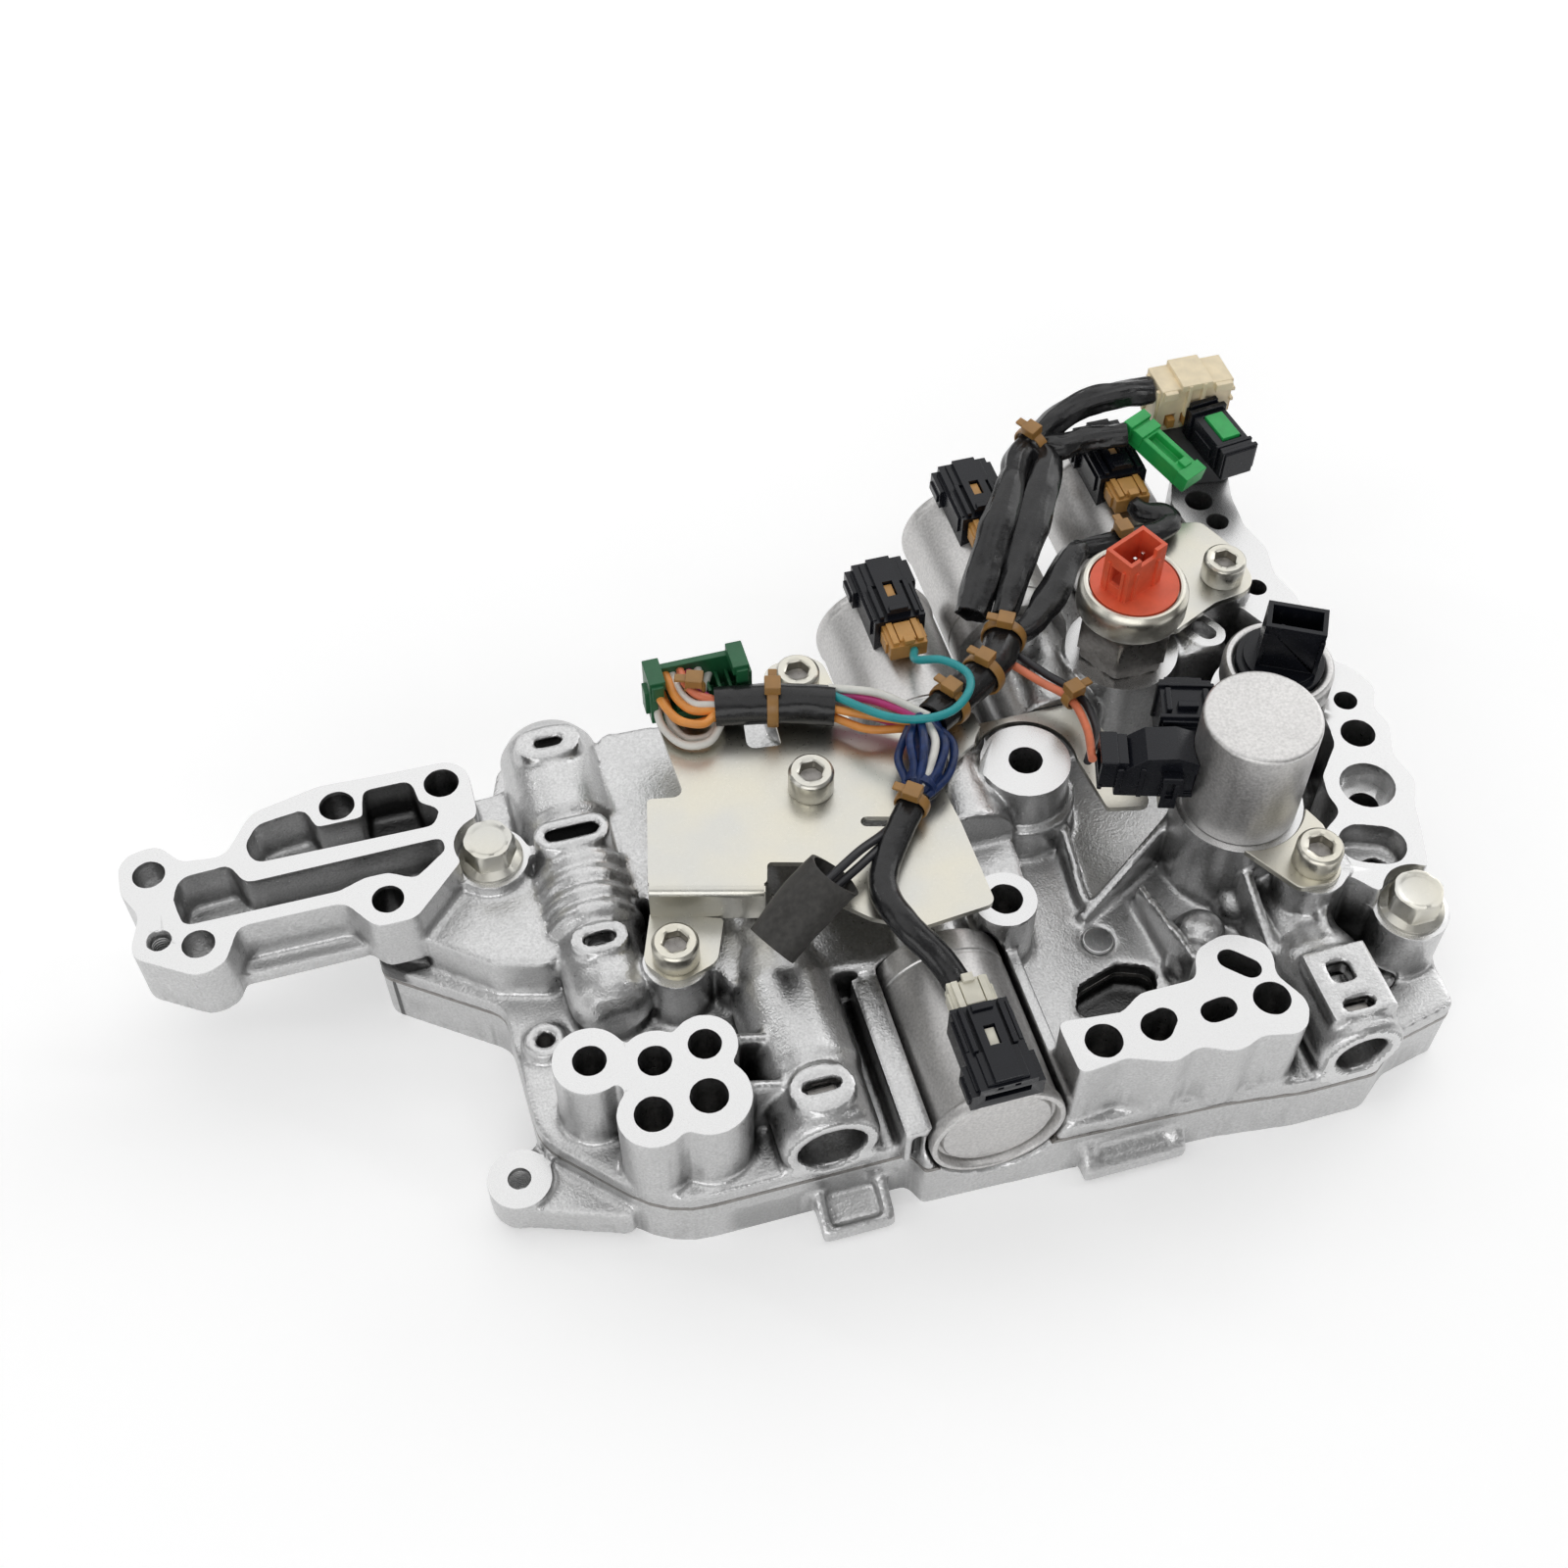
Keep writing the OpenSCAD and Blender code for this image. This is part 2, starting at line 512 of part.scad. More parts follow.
module upper_cuts() {
  for (p = arm_bolts) post(p, arm_bolt_d / 2, arm_z - 1, face_z + 1);
  for (p = arm_ports) post(p, small_port_d / 2, arm_z - 1, face_z + 1);
  post(arm_tap, arm_tap_r, arm_z - 1, face_z + 1);
  translate([arm_tap.x, arm_tap.y, face_z - 1]) cylinder(r1 = arm_tap_r, r2 = arm_tap_r + 0.8, h = 1.1);
  prism(face_z - channel_d, face_z + 1) upper_channel();
  prism(face_z - channel_d, face_z + 1) lower_channel();
  for (i = [0:len(pad_ports) - 1]) post(pad_ports[i], pad_port_d[i] / 2, body_z - 1, face_z + 1);
  for (p = block_ports) post(p, large_port_d / 2, body_z - 1, face_z + 1);
  prism(body_z - 1, face_z + 1) block_slots();
  for (i = [0:len(flange_ports) - 1]) post(flange_ports[i], flange_port_d[i] / 2, body_z - 1, face_z + 1);
  post(flange_well, 6.1, face_z - 6, face_z + 1);
  post(flange_well - [0, 1], small_port_d / 2, body_z - 1, face_z + 1);
  prism(face_z - 7, face_z + 1) translate(corner_well) rotate(-22) slot_2d(14.6, 10);
  post(corner_well + [1.4, -2], small_port_d / 2 - 0.6, body_z - 1, face_z + 1);
  prism(face_z - 4, face_z + 1) translate(kidney_pad) rotate(-60) slot_2d(6.6, 4);
  post(ring_boss, ring_bore_d / 2, body_z - 1, face_z + 1);
  post(side_hole, ring_bore_d / 2, body_z - 1, face_z + 1);
  post(floor_hole, 1.9, body_z - 1, floor_z + 4);
  rear_pocket();
  post(oil_plug_at, oil_plug_d / 2, floor_z - 2, face_z);
  dowel_holes();
  box([4.4, -81, body_z + 2], [6.4, -78, 27]);
  valve_cuts();
  solenoid_cuts();
  for (s = concat(cap_screw_seats, flange_bolt_seats)) post(s, screw_hole_r, s.z - screw_l - 1, high_z);
  for (s = flange_bolt_seats) post(s, bolt_flange_d / 2 + gap, s.z, high_z);
}

// Pocket behind the port block, down into the lower casting
module rear_pocket() prism(lower_h - 3.5, deck_z) {
  rounded_polygon([[49, -57, 2], [54, -63, 2], [66, -61, 3], [69.6, -51, 3], [62, -48, 3], [52, -51, 2]]);
}

module block_slots() {
  translate([56.5, -75.8]) circle(3.4);
  translate([58.6, -74.6]) circle(2.6);
  translate([70, -75.6]) rotate(8) slot_2d(8, 5);
  translate([78.5, -66.6]) rotate(-45) slot_2d(9.6, 4.6);
}

module valve_cuts() {
  centre_stop_y = centre_spool_y + spool_l + bore_end;
  right_stop_y = right_spool_y + spool_l + bore_end;
  rod(left_x, left_z, left_land_d / 2 + spool_clear, left_spool_y - bore_end, left_back_y + 1);
  rod(left_x, left_z, left_plug_r + slide_clear, left_plug_y, left_back_y + 1);
  flat_slot(left_x, left_key_y, 6.4, key_t + 2 * gap, left_z, high_z);
  flat_slot(left_x, left_slots_y[0], 12, 3, left_z + left_r - 5, high_z);
  flat_slot(left_x, left_slots_y[1], 7, 2.8, left_z + left_r - 6, high_z);
  rod(centre_x, centre_z, centre_land_d / 2 + spool_clear, centre_front_y - 1, centre_stop_y);
  rod(centre_x, centre_z, centre_plug_r + slide_clear, centre_front_y - 1, centre_plug_y + plug_l);
  flat_slot(centre_x, centre_key_y, 8, key_t + 2 * gap, centre_z, high_z);
  rod(right_x, right_z, right_land_d / 2 + spool_clear, right_front_y - 1, right_stop_y);
  rod(right_x, right_z, right_plug_r + slide_clear, right_front_y - 1, right_plug_y + plug_l);
  flat_slot(right_x, right_key_y, 7, key_t + 2 * gap, right_z, high_z);
  box([right_x - 3, right_window_y - 2.5, right_z + 2], [right_x + 2, right_window_y + 2.5, high_z]);
}

module solenoid_cuts() {
  trough_cuts();
  for (s = lying_solenoids) on_solenoid(s) {
    rotate([90, 0, 0]) cylinder(r = nose_r + slide_clear, h = nose_l + 0.5);
  }
  post(standing, nose_r + slide_clear, standing_seat_z - standing_nose_l - 0.5, high_z);
  post(orange_sensor, shank_r + slide_clear, sensor_seat_z - shank_l - 1, high_z);
  post(black_sensor, shank_r + slide_clear, black_seat_z - shank_l - 1, high_z);
  post(black_sensor, ring_r + gap, black_seat_z, high_z);
}

module upper_body() color(cast_colour) difference() {
  upper_solids();
  upper_cuts();
  prism(-1, body_z) square(400, center = true);
}

module trough_cuts() {
  for (s = lying_solenoids) on_solenoid(s) rotate([-90, 0, 0]) cylinder(r = trough_r, h = can_l + 20);
}

module dowel_holes() {
  for (p = dowel_at) post(p, dowel_d / 2 + slide_clear, lower_h - dowel_l / 2 - 1, lower_h + dowel_l / 2 + 1);
}

module separator_plate() color(steel_colour) difference() {
  prism(lower_h, body_z) body_outline();
  trough_cuts();
  dowel_holes();
  rear_pocket();
}

// A prism along X between two places, from a profile of [y, z] points
module sloped(x0, x1, profile) {
  translate([x0, 0, 0]) rotate([90, 0, 90]) linear_extrude(x1 - x0) polygon(profile);
}

module lower_body() color(cast_colour) difference() {
  union() {
    prism(0, lower_h) body_outline();
    post(tab_boss, 6.8, 2, 12);
    prism(2, 10.5) {
      rounded_polygon([[-77, -65, 4], [-52, -74, 2], [-52, -50, 2], [-66, -50, 2], [-72, -54, 2]]);
    }
    sloped(-15.6, 0, [[-76, 2], [-86, 1], [-86, 4.5], [-79, 8.5], [-76, 8.5]]);
    sloped(41, 64, [[-80, 2], [-88, 2], [-88, 5.6], [-82.6, 12.5], [-80, 12.5]]);
  }
  sloped(-13.4, -2.2, [[-77.4, 6], [-84.4, 2.6], [-84.4, 20], [-77.4, 20]]);
  sloped(44, 61, [[-83.6, 9.6], [-86.4, 6], [-86.4, 20], [-83.6, 20]]);
  trough_cuts();
  dowel_holes();
  post(tab_boss, tab_hole_d / 2, -1, 13);
  rear_pocket();
  underside_cuts();
}

// Oil channels in the lower face
module underside_cuts() prism(-1, lower_h - 5) {
  rounded_polygon([[-58, -58, 4], [-30, -64, 4], [-22, -50, 4], [-34, -44, 4], [-38, -12, 4], [-58, -14, 4]]);
  rounded_polygon([[-80, 2, 4], [-60, -4, 4], [-28, -2, 4], [-28, 24, 4], [-50, 32, 4], [-80, 20, 4]]);
  rounded_polygon([[46, -70, 4], [84, -74, 4], [86, -46, 4], [64, -38, 4], [60, -16, 4], [46, -20, 4]]);
  rounded_polygon([[72, -10, 4], [104, -16, 4], [118, -6, 4], [118, 24, 4], [96, 30, 4], [72, 22, 4]]);
}

// Valves

// Spool with three lands, from y0 along +Y
module spool(x, z, land_d, y0) {
  r = land_d / 2;
  stem = r * 0.55;
  l = spool_l;
  edge = 0.4;
  land = 8;
  color(steel_colour) turned(x, z, [
    [0, y0], [r - edge, y0], [r, y0 + edge], [r, y0 + land - edge], [r - edge, y0 + land], [stem, y0 + land],
    [stem, y0 + 0.4 * l], [r - edge, y0 + 0.4 * l], [r, y0 + 0.4 * l + edge], [r, y0 + 0.6 * l - edge],
    [r - edge, y0 + 0.6 * l], [stem, y0 + 0.6 * l], [stem, y0 + l - land], [r - edge, y0 + l - land],
    [r, y0 + l - land + edge], [r, y0 + l - edge], [r - edge, y0 + l], [0, y0 + l]
  ]);
}

// Coil spring between y0 and y1, round the stop pin of a valve plug
module spring(x, z, coil_r, y0, y1, turns) {
  steps = 12;
  first_y = y0 + spring_wire_d / 2;
  rise = y1 - y0 - spring_wire_d;
  n = turns * steps;
  route = [for (i = [0:n])
    [x + coil_r * cos(360 * i / steps), first_y + rise * i / n, z + coil_r * sin(360 * i / steps)]];
  color(steel_colour) tube(route, spring_wire_d / 2, 6, 1, [0, 1, 0]);
}

// End plug with a pin that stops the spool after its travel; the pin's direction along Y is dir
module valve_plug(x, z, r, y0, pin_r, pin_l, dir) {
  color(cast_colour) turned(x, z, [
    [0, y0], [r - 0.6, y0], [r, y0 + 0.6], [r, y0 + plug_l - 0.6], [r - 0.6, y0 + plug_l], [0, y0 + plug_l]
  ]);
  if (dir > 0) rod(x, z, pin_r, y0 + plug_l - 1, y0 + plug_l + pin_l);
  else rod(x, z, pin_r, y0 - pin_l, y0 + 1);
}

function coil_r(land_d) = land_d / 2 - 0.4 - spring_wire_d;

function pin_r(land_d) = coil_r(land_d) - spring_wire_d / 2 - gap;

function pin_l(spring_l) = spring_l + 2 * gap - spool_travel;

module left_spool() spool(left_x, left_z, left_land_d, left_spool_y);

module left_spring() {
  y0 = left_spool_y + spool_l + gap;
  spring(left_x, left_z, coil_r(left_land_d), y0, y0 + left_spring_l, 7);
}

module left_plug() color(cast_colour) difference() {
  valve_plug(left_x, left_z, left_plug_r, left_plug_y, pin_r(left_land_d), pin_l(left_spring_l), -1);
  flat_slot(left_x, left_key_y, 7, key_t + 2 * gap, left_z - 1, high_z);
}

module centre_spool() spool(centre_x, centre_z, centre_land_d, centre_spool_y);

module centre_spring() {
  y0 = centre_plug_y + plug_l + gap;
  spring(centre_x, centre_z, coil_r(centre_land_d), y0, y0 + centre_spring_l, 6);
}

module centre_plug() {
  pin = pin_l(centre_spring_l);
  valve_plug(centre_x, centre_z, centre_plug_r, centre_plug_y, pin_r(centre_land_d), pin, 1);
}

module right_spool() spool(right_x, right_z, right_land_d, right_spool_y);

module right_spring() {
  y0 = right_plug_y + plug_l + gap;
  spring(right_x, right_z, coil_r(right_land_d), y0, y0 + right_spring_l, 6);
}

module right_plug() {
  valve_plug(right_x, right_z, right_plug_r, right_plug_y, pin_r(right_land_d), pin_l(right_spring_l), 1);
}

module key(x, y, width, z0, z1) translate([x - width / 2, y - key_t / 2, z0]) cube([width, key_t, z1 - z0]);

module retainer_keys() color(zinc_colour) {
  key(left_x, left_key_y, 5, left_z, left_z + left_r - 3);
  key(centre_x, centre_key_y, 6, centre_z + centre_plug_r - 2, centre_z + centre_r - 2);
  key(right_x, right_key_y, 5, right_z + right_plug_r - 2, right_z + right_r - 2);
}

// Solenoids

module solenoid_can(s) color(steel_colour) on_solenoid(s) {
  rotate([-90, 0, 0]) rotate_extrude() polygon(can_profile);
}

// Connector on top of a can, open towards the casting
module solenoid_connector(s) color(black_colour) on_solenoid(s) difference() {
  union() {
    translate([-plug_w / 2, connector_y, can_r - 2]) cube([plug_w, 14, 5]);
    translate([-plug_w / 2 - 0.5, connector_y + 2, can_r + 2]) cube([plug_w + 1, connector_l - 3, 4.4]);
    translate([-plug_w / 2, connector_y, can_r + 1]) cube([plug_w, connector_l, 6.6]);
    translate([-2.8, connector_y + 1, can_r + 2]) cube([5.6, connector_l - 1.6, 7.2]);
    translate([-plug_w / 2 - 1.6, connector_y + connector_l - 7, can_r + 0.7]) cube([plug_w + 3.2, 7, 5.2]);
  }
  translate([0, -1, 0]) rotate([-90, 0, 0]) cylinder(r = can_r + slide_clear, h = can_l);
  translate([-plug_w / 2 + 1.4, connector_y - 1, can_r + 1.8]) cube([plug_w - 2.8, connector_l - 4, 4.6]);
  translate([-1.2, connector_y + 6, can_r + 5]) cube([2.4, 4.6, 10]);
}

// Plug in a can's connector
module solenoid_plug(s) on_solenoid(s) {
  translate([-plug_w / 2 + 1.6, connector_y - 7, can_r + 2]) cube([plug_w - 3.2, 13, 4.2]);
  translate([-2, connector_y - 6, can_r + 6]) cube([4, 5.6, 1.2]);
}

module front_can() solenoid_can(front_solenoid);
module front_connector() solenoid_connector(front_solenoid);
module rear_left_can() solenoid_can(rear_left_solenoid);
module rear_left_connector() solenoid_connector(rear_left_solenoid);
module rear_middle_can() solenoid_can(rear_middle_solenoid);
module rear_middle_connector() solenoid_connector(rear_middle_solenoid);
module rear_right_can() solenoid_can(rear_right_solenoid);
module rear_right_connector() solenoid_connector(rear_right_solenoid);

module solenoid_noses() color(cast_colour) for (s = lying_solenoids) on_solenoid(s) {
  rotate([90, 0, 0]) rotate_extrude() polygon(nose_profile);
}

module nose_seals() color(black_colour) for (s = lying_solenoids, d = seal_at) on_solenoid(s) {
  translate([0, -d, 0]) rotate([90, 0, 0]) {
    rotate_extrude() translate([nose_r - 0.6, 0]) circle(0.55, $fn = 24);
  }
}

module standing_can() color(steel_colour) translate([standing.x, standing.y, standing_seat_z]) {
  rotate_extrude() polygon([
    [0, 0], [standing_r - 0.6, 0], [standing_r, 0.6], [standing_r, standing_h - 1.6],
    [standing_r - 0.5, standing_h - 0.4], [standing_r - 1.2, standing_h], [0, standing_h]
  ]);
}

module standing_nose() color(cast_colour) {
  post(standing, nose_r, standing_seat_z - standing_nose_l, standing_seat_z);
}

// Connector on the side of the standing can, with its plug towards the wires
module standing_connector() color(black_colour) difference() {
  union() {
    translate([76.5, -22.5, 47.5]) rotate(-18) {
      translate([-8, 4.5, 0]) rotate([90, 0, 0]) linear_extrude(9) {
        polygon([[0, 0], [18, 0], [18, 10.4], [11, 13], [4.6, 12.4], [0, 8.4]]);
      }
      translate([-12.6, -4, 2]) cube([5.6, 8, 8.5]);
      translate([0.6, -6.1, -2]) cube([3.6, 6, 10]);
    }
    translate([86, -13, 49]) rotate(-18) {
      translate([-5.5, -6, 0]) cube([11, 12, 11]);
      translate([-4, 5, 1.5]) cube([8, 3, 8]);
      translate([-3, -8, 2]) cube([6, 5, 7.5]);
    }
  }
  post(standing, standing_r + slide_clear, 30, high_z);
}

// Sensors

module orange_sensor_body() color(zinc_colour) translate([orange_sensor.x, orange_sensor.y, sensor_seat_z]) {
  difference() {
    union() {
      translate([0, 0, -shank_l]) cylinder(r = shank_r, h = shank_l + 1);
      cylinder(r = sensor_hex / sqrt(3), h = 13, $fn = 6);
      translate([0, 0, 12]) cylinder(r = ring_r - 1.6, h = 3);
      translate([0, 0, 14.5]) cylinder(r = ring_r, h = 7.5);
    }
    translate([0, 0, 20.4]) cylinder(r = ring_r - 2.4, h = 10);
  }
}

// Rectangular socket: wall with a deep opening for a plug
module plug_socket(w, l, h, wall) difference() {
  translate([-w / 2, -l / 2, 0]) cube([w, l, h]);
  translate([-w / 2 + wall, -l / 2 + wall, 1.5]) cube([w - 2 * wall, l - 2 * wall, h]);
}

module orange_sensor_socket() color("orangered") {
  translate([orange_sensor.x, orange_sensor.y, sensor_seat_z + 20.4]) {
    cylinder(r = ring_r - 2.4 - slide_clear, h = 1.4);
    translate([-0.9, 0.4, 1]) rotate(24) plug_socket(11.5, 7.6, socket_h + 1.6, 1);
  }
}

module black_sensor_body() color(steel_colour) translate([black_sensor.x, black_sensor.y, black_seat_z]) {
  difference() {
    union() {
      translate([0, 0, -shank_l]) cylinder(r = shank_r, h = shank_l + 1);
      cylinder(r = ring_r - 1, h = 6);
      translate([0, 0, 5]) cylinder(r = ring_r, h = 7);
    }
    translate([0, 0, 9]) cylinder(r = ring_r - 2.6, h = 10);
  }
}

module black_sensor_socket() color(black_colour) {
  translate([black_sensor.x, black_sensor.y, black_seat_z + 9]) {
    cylinder(r = ring_r - 2.6 - slide_clear, h = 4);
    cylinder(r = ring_r - 4, h = 5);
    translate([1, -0.5, 3.6]) rotate(-29) plug_socket(13.2, 7.9, socket_h + 4, 1.1);
  }
}

// Sheet metal

module bracket_plate_outline() difference() {
  rounded_polygon([
    [-34.5, -17.5, 1], [-10.4, -23.8, 1], [-8.9, -18.6, 1], [1.4, -21.6, 1], [-0.6, -29.4, 1], [8, -38, 2],
    [17, -43, 2], [34, -41.5, 2], [33.8, -20, 6], [33, -9.5, 5], [38, -3.5, 3], [46.4, 2, 1], [46.4, 8.6, 1],
    [19.4, 9, 2], [18, 34.4, 5], [4, 34.4, 5], [2.6, 11, 1], [-5, 12, 2], [-2, 32, 1], [-22.6, 32, 1],
    [-21.5, 3, 2], [-29.5, 4.5, 1]
  ]);
  translate(screw_bracket) circle(plate_hole_r);
  translate(screw_rear) circle(plate_hole_r);
  translate([17.5, -15]) rotate(-16) slot_2d(9, 2.6);
}

// Lower part of the bracket, round the ring boss
module bracket_low_outline() {
  rounded_polygon([
    [45.4, 2.4, 0.5], [56, 0, 1], [65.6, -2.5, 0.5], [67.4, -21.4, 1], [77, -23.6, 2], [77, -10, 3],
    [72, 8.7, 3], [45.4, 8.7, 0.5]
  ]);
}

module harness_bracket() color(zinc_colour) difference() {
  union() {
    prism(bracket_z, bracket_z + bracket_t) bracket_plate_outline();
    prism(low_plate_z, low_plate_z + bracket_t) bracket_low_outline();
    box([46.4 - bracket_t, 3, low_plate_z + bracket_t / 2], [46.4, 8, bracket_z + bracket_t / 2]);
    prism(ear_z, bracket_z + bracket_t - 0.5) {
      polygon([[-34.4, -17.4], [-34.8, -18.8], [-11.2, -25.4], [-10.8, -24]]);
    }
    prism(ear_z, ear_z + bracket_t) {
      rounded_polygon([[-34.8, -18.5, 0.5], [-39, -30, 4], [-34, -37.5, 5], [-24, -34, 4], [-20, -24, 1]]);
    }
  }
  post(screw_ear, plate_hole_r, 0, high_z);
  post(ring_boss, ring_boss_d / 2 + 1.6, 0, high_z);
}

module sensor_retainer() color(zinc_colour) difference() {
  prism(retainer_z, retainer_z + retainer_t) {
    rounded_polygon([
      [96, 33, 2], [98, 18, 2], [112, 24.5, 4], [123.5, 26, 6], [123.5, 39, 6], [119, 50, 3], [108, 52, 3]
    ]);
  }
  post(screw_sensor, plate_hole_r, 0, high_z);
  post(orange_sensor, sensor_hex / sqrt(3) + gap, 0, high_z);
}

module standing_retainer() color(zinc_colour) difference() {
  prism(standing_plate_z, standing_plate_z + retainer_t) {
    rounded_polygon([[88, -38, 1], [97.5, -54, 3], [108, -55, 5], [109.5, -40, 3], [107, -33, 1]]);
  }
  post(screw_standing, plate_hole_r, 0, high_z);
  post(standing, standing_r + 1.6 + slide_clear, 0, high_z);
}

// Fasteners

module cap_screws() color(zinc_colour) for (s = cap_screw_seats) translate(s) difference() {
  union() {
    cylinder(d = cap_head_d, h = cap_head_h);
    translate([0, 0, -screw_l]) cylinder(d = screw_d, h = screw_l + 1);
  }
  translate([0, 0, cap_head_h - 3]) cylinder(d = 0.5 * cap_head_d / cos(30), h = 4, $fn = 6);
}

module flange_bolts() color(zinc_colour) for (s = flange_bolt_seats) translate(s) {
  cylinder(d1 = bolt_flange_d, d2 = bolt_hex, h = 2.2);
  cylinder(d = bolt_hex / cos(30), h = 7, $fn = 6);
  translate([0, 0, -screw_l]) cylinder(d = screw_d, h = screw_l + 1);
}

module oil_plug() color(steel_colour) {
  post(oil_plug_at, oil_plug_d / 2 - slide_clear, floor_z - 2, floor_z + 0.4);
}

module dowel_pins() color(steel_colour) {
  for (p = dowel_at) post(p, dowel_d / 2, lower_h - dowel_l / 2, lower_h + dowel_l / 2);
}

// Harness

function curve_point(a, b, c, d, t) =
  0.5 * (2 * b + (c - a) * t + (2 * a - 5 * b + 4 * c - d) * t * t + (3 * b - a - 3 * c + d) * t * t * t);

// Smooth curve through the points of a route
function route_curve(p, steps) = let (last = len(p) - 1) [
  for (i = [0:last - 1]) for (s = [0:steps - 1])
    curve_point(p[max(i - 1, 0)], p[i], p[i + 1], p[min(i + 2, last)], s / steps),
  p[last]
];

function ring(centre, along, r, sides, up) =
  let (u = unit(cross(along, up)), v = cross(unit(along), u))
  [for (k = [0:sides - 1]) centre + r * (cos(360 * k / sides) * u + sin(360 * k / sides) * v)];

// Round tube swept along a route
module tube(route, r, sides = 8, steps = 3, up = [0, 0, 1]) {
  c = route_curve(route, steps);
  last = len(c) - 1;
  points = [for (i = [0:last]) each ring(c[i], c[min(i + 1, last)] - c[max(i - 1, 0)], r, sides, up)];
  near_end = [for (k = [0:sides - 1]) k];
  far_end = [for (k = [sides - 1:-1:0]) last * sides + k];
  walls = [for (i = [0:last - 1]) for (k = [0:sides - 1])
    let (m = (k + 1) % sides) [i * sides + k, (i + 1) * sides + k, (i + 1) * sides + m, i * sides + m]];
  polyhedron(points, concat([near_end], walls, [far_end]));
}

module large_sleeves() color(black_colour) {
  tube(main_sleeve, sleeve_r, 12);
  tube(dark_sleeve, sleeve_r - 0.3, 12);
}

module slim_sleeves() color(black_colour) {
  tube(rear_sleeve, slim_r + 0.4, 12);
  tube(flat_sleeve_a, slim_r + 0.4, 12);
  tube(flat_sleeve_b, slim_r + 0.4, 12);
  tube(stub_sleeve, slim_r + 0.2, 12);
  tube(rear_slim, slim_r - 0.4);
  tube(side_slim, slim_r - 0.4);
  tube(front_slim, slim_r - 0.2, 12);
}

module open_sleeve() color([0.2, 0.2, 0.2]) difference() {
  tube(open_route, open_r, 12, 2);
  tube(open_bore, open_r - 0.8, 12, 2);
}

module taped_bundle() color([0.08, 0.1, 0.2]) tube(bundle_route, 5, 12);

module green_comb() color("forestgreen") translate([-12.2, 28.4, bracket_z + bracket_t]) difference() {
  translate([-11.3, -3.8, 0]) cube([22.6, 7.4, 11]);
  translate([-9.6, -5, 2]) cube([19.2, 7, 12]);
}

module green_plug() color("limegreen") translate([114.2, 66.5, 53.6]) rotate([0, 10.8, -64.7]) difference() {
  translate([-10.5, -3, -2.5]) cube([21, 6, 5]);
  translate([-4, -1.6, 0.5]) cube([9, 3.2, 5]);
}

// Housing of the main connector on the flange's rear corner
module connector_housing() color("dimgray") prism(face_z, face_z + housing_h) {
  rounded_polygon([[119.4, 67.4, 2], [133.6, 65.2, 3], [138, 72, 5], [138, 90, 2], [119.4, 90, 2]]);
}

module cream_connector() color("wheat") translate([119, 80, face_z + housing_h]) difference() {
  cube([19, 9.6, 13]);
  for (i = [0:3]) translate([2 + 4.2 * i, -1, 1.5]) cube([2.6, 2.5, 3.5]);
}

// Lock connector in front of the cream connector
module on_lock() translate([130, 79.4, face_z + housing_h]) rotate(7) children();

module lock_connector() color(black_colour) on_lock() difference() {
  translate([-4.6, -19.4, 0]) cube([8.6, 19, 8]);
  translate([-2.6, -14.4, 6.6]) cube([5.2, 9.2, 3]);
}

module lock_slider() color("limegreen") on_lock() translate([-2.4, -14.2, 6.6]) cube([4.8, 8.8, 2]);

module front_plug() color("wheat") solenoid_plug(front_solenoid);

module rear_plugs() color("burlywood") {
  solenoid_plug(rear_left_solenoid);
  solenoid_plug(rear_middle_solenoid);
  solenoid_plug(rear_right_solenoid);
}

module orange_wires() color("orange") for (route = orange_routes) tube(route, wire_r);

module white_wires() color("white") for (route = white_routes) tube(route, wire_r);

module pink_wires() color("hotpink") for (route = pink_routes) tube(route, wire_r);

module teal_wires() color("lightseagreen") tube(teal_route, wire_r);

module salmon_wire() color("salmon") tube(salmon_route, wire_r);

module black_wire() color(black_colour) tube(black_route, wire_r);

module cable_ties() color("peru") for (t = ties) translate(t[0]) rotate([0, 90 - t[3], t[2]]) difference() {
  cylinder(r = t[1] + tie_clear + tie_t, h = tie_w, center = true);
  cylinder(r = t[1] + tie_clear, h = tie_w + 1, center = true);
}

upper_body();
lower_body();
separator_plate();
dowel_pins();
left_spool();
left_spring();
left_plug();
centre_spool();
centre_spring();
centre_plug();
right_spool();
right_spring();
right_plug();
retainer_keys();
front_can();
front_connector();
rear_left_can();
rear_left_connector();
rear_middle_can();
rear_middle_connector();
rear_right_can();
rear_right_connector();
solenoid_noses();
nose_seals();
standing_can();
standing_connector();
standing_nose();
orange_sensor_body();
orange_sensor_socket();
black_sensor_body();
black_sensor_socket();
harness_bracket();
sensor_retainer();
standing_retainer();
connector_housing();
cap_screws();
flange_bolts();
oil_plug();
green_comb();
green_plug();
cream_connector();
lock_connector();
lock_slider();
front_plug();
rear_plugs();
large_sleeves();
slim_sleeves();
open_sleeve();
taped_bundle();
orange_wires();
white_wires();
pink_wires();
teal_wires();
salmon_wire();
black_wire();
cable_ties();
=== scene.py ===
"""Looks of a transmission valve body: finishes and fine forms around its CAD frame."""

import math

import bmesh
import bpy
import numpy as np
from mathutils import Matrix, Vector, noise
from mathutils.bvhtree import BVHTree


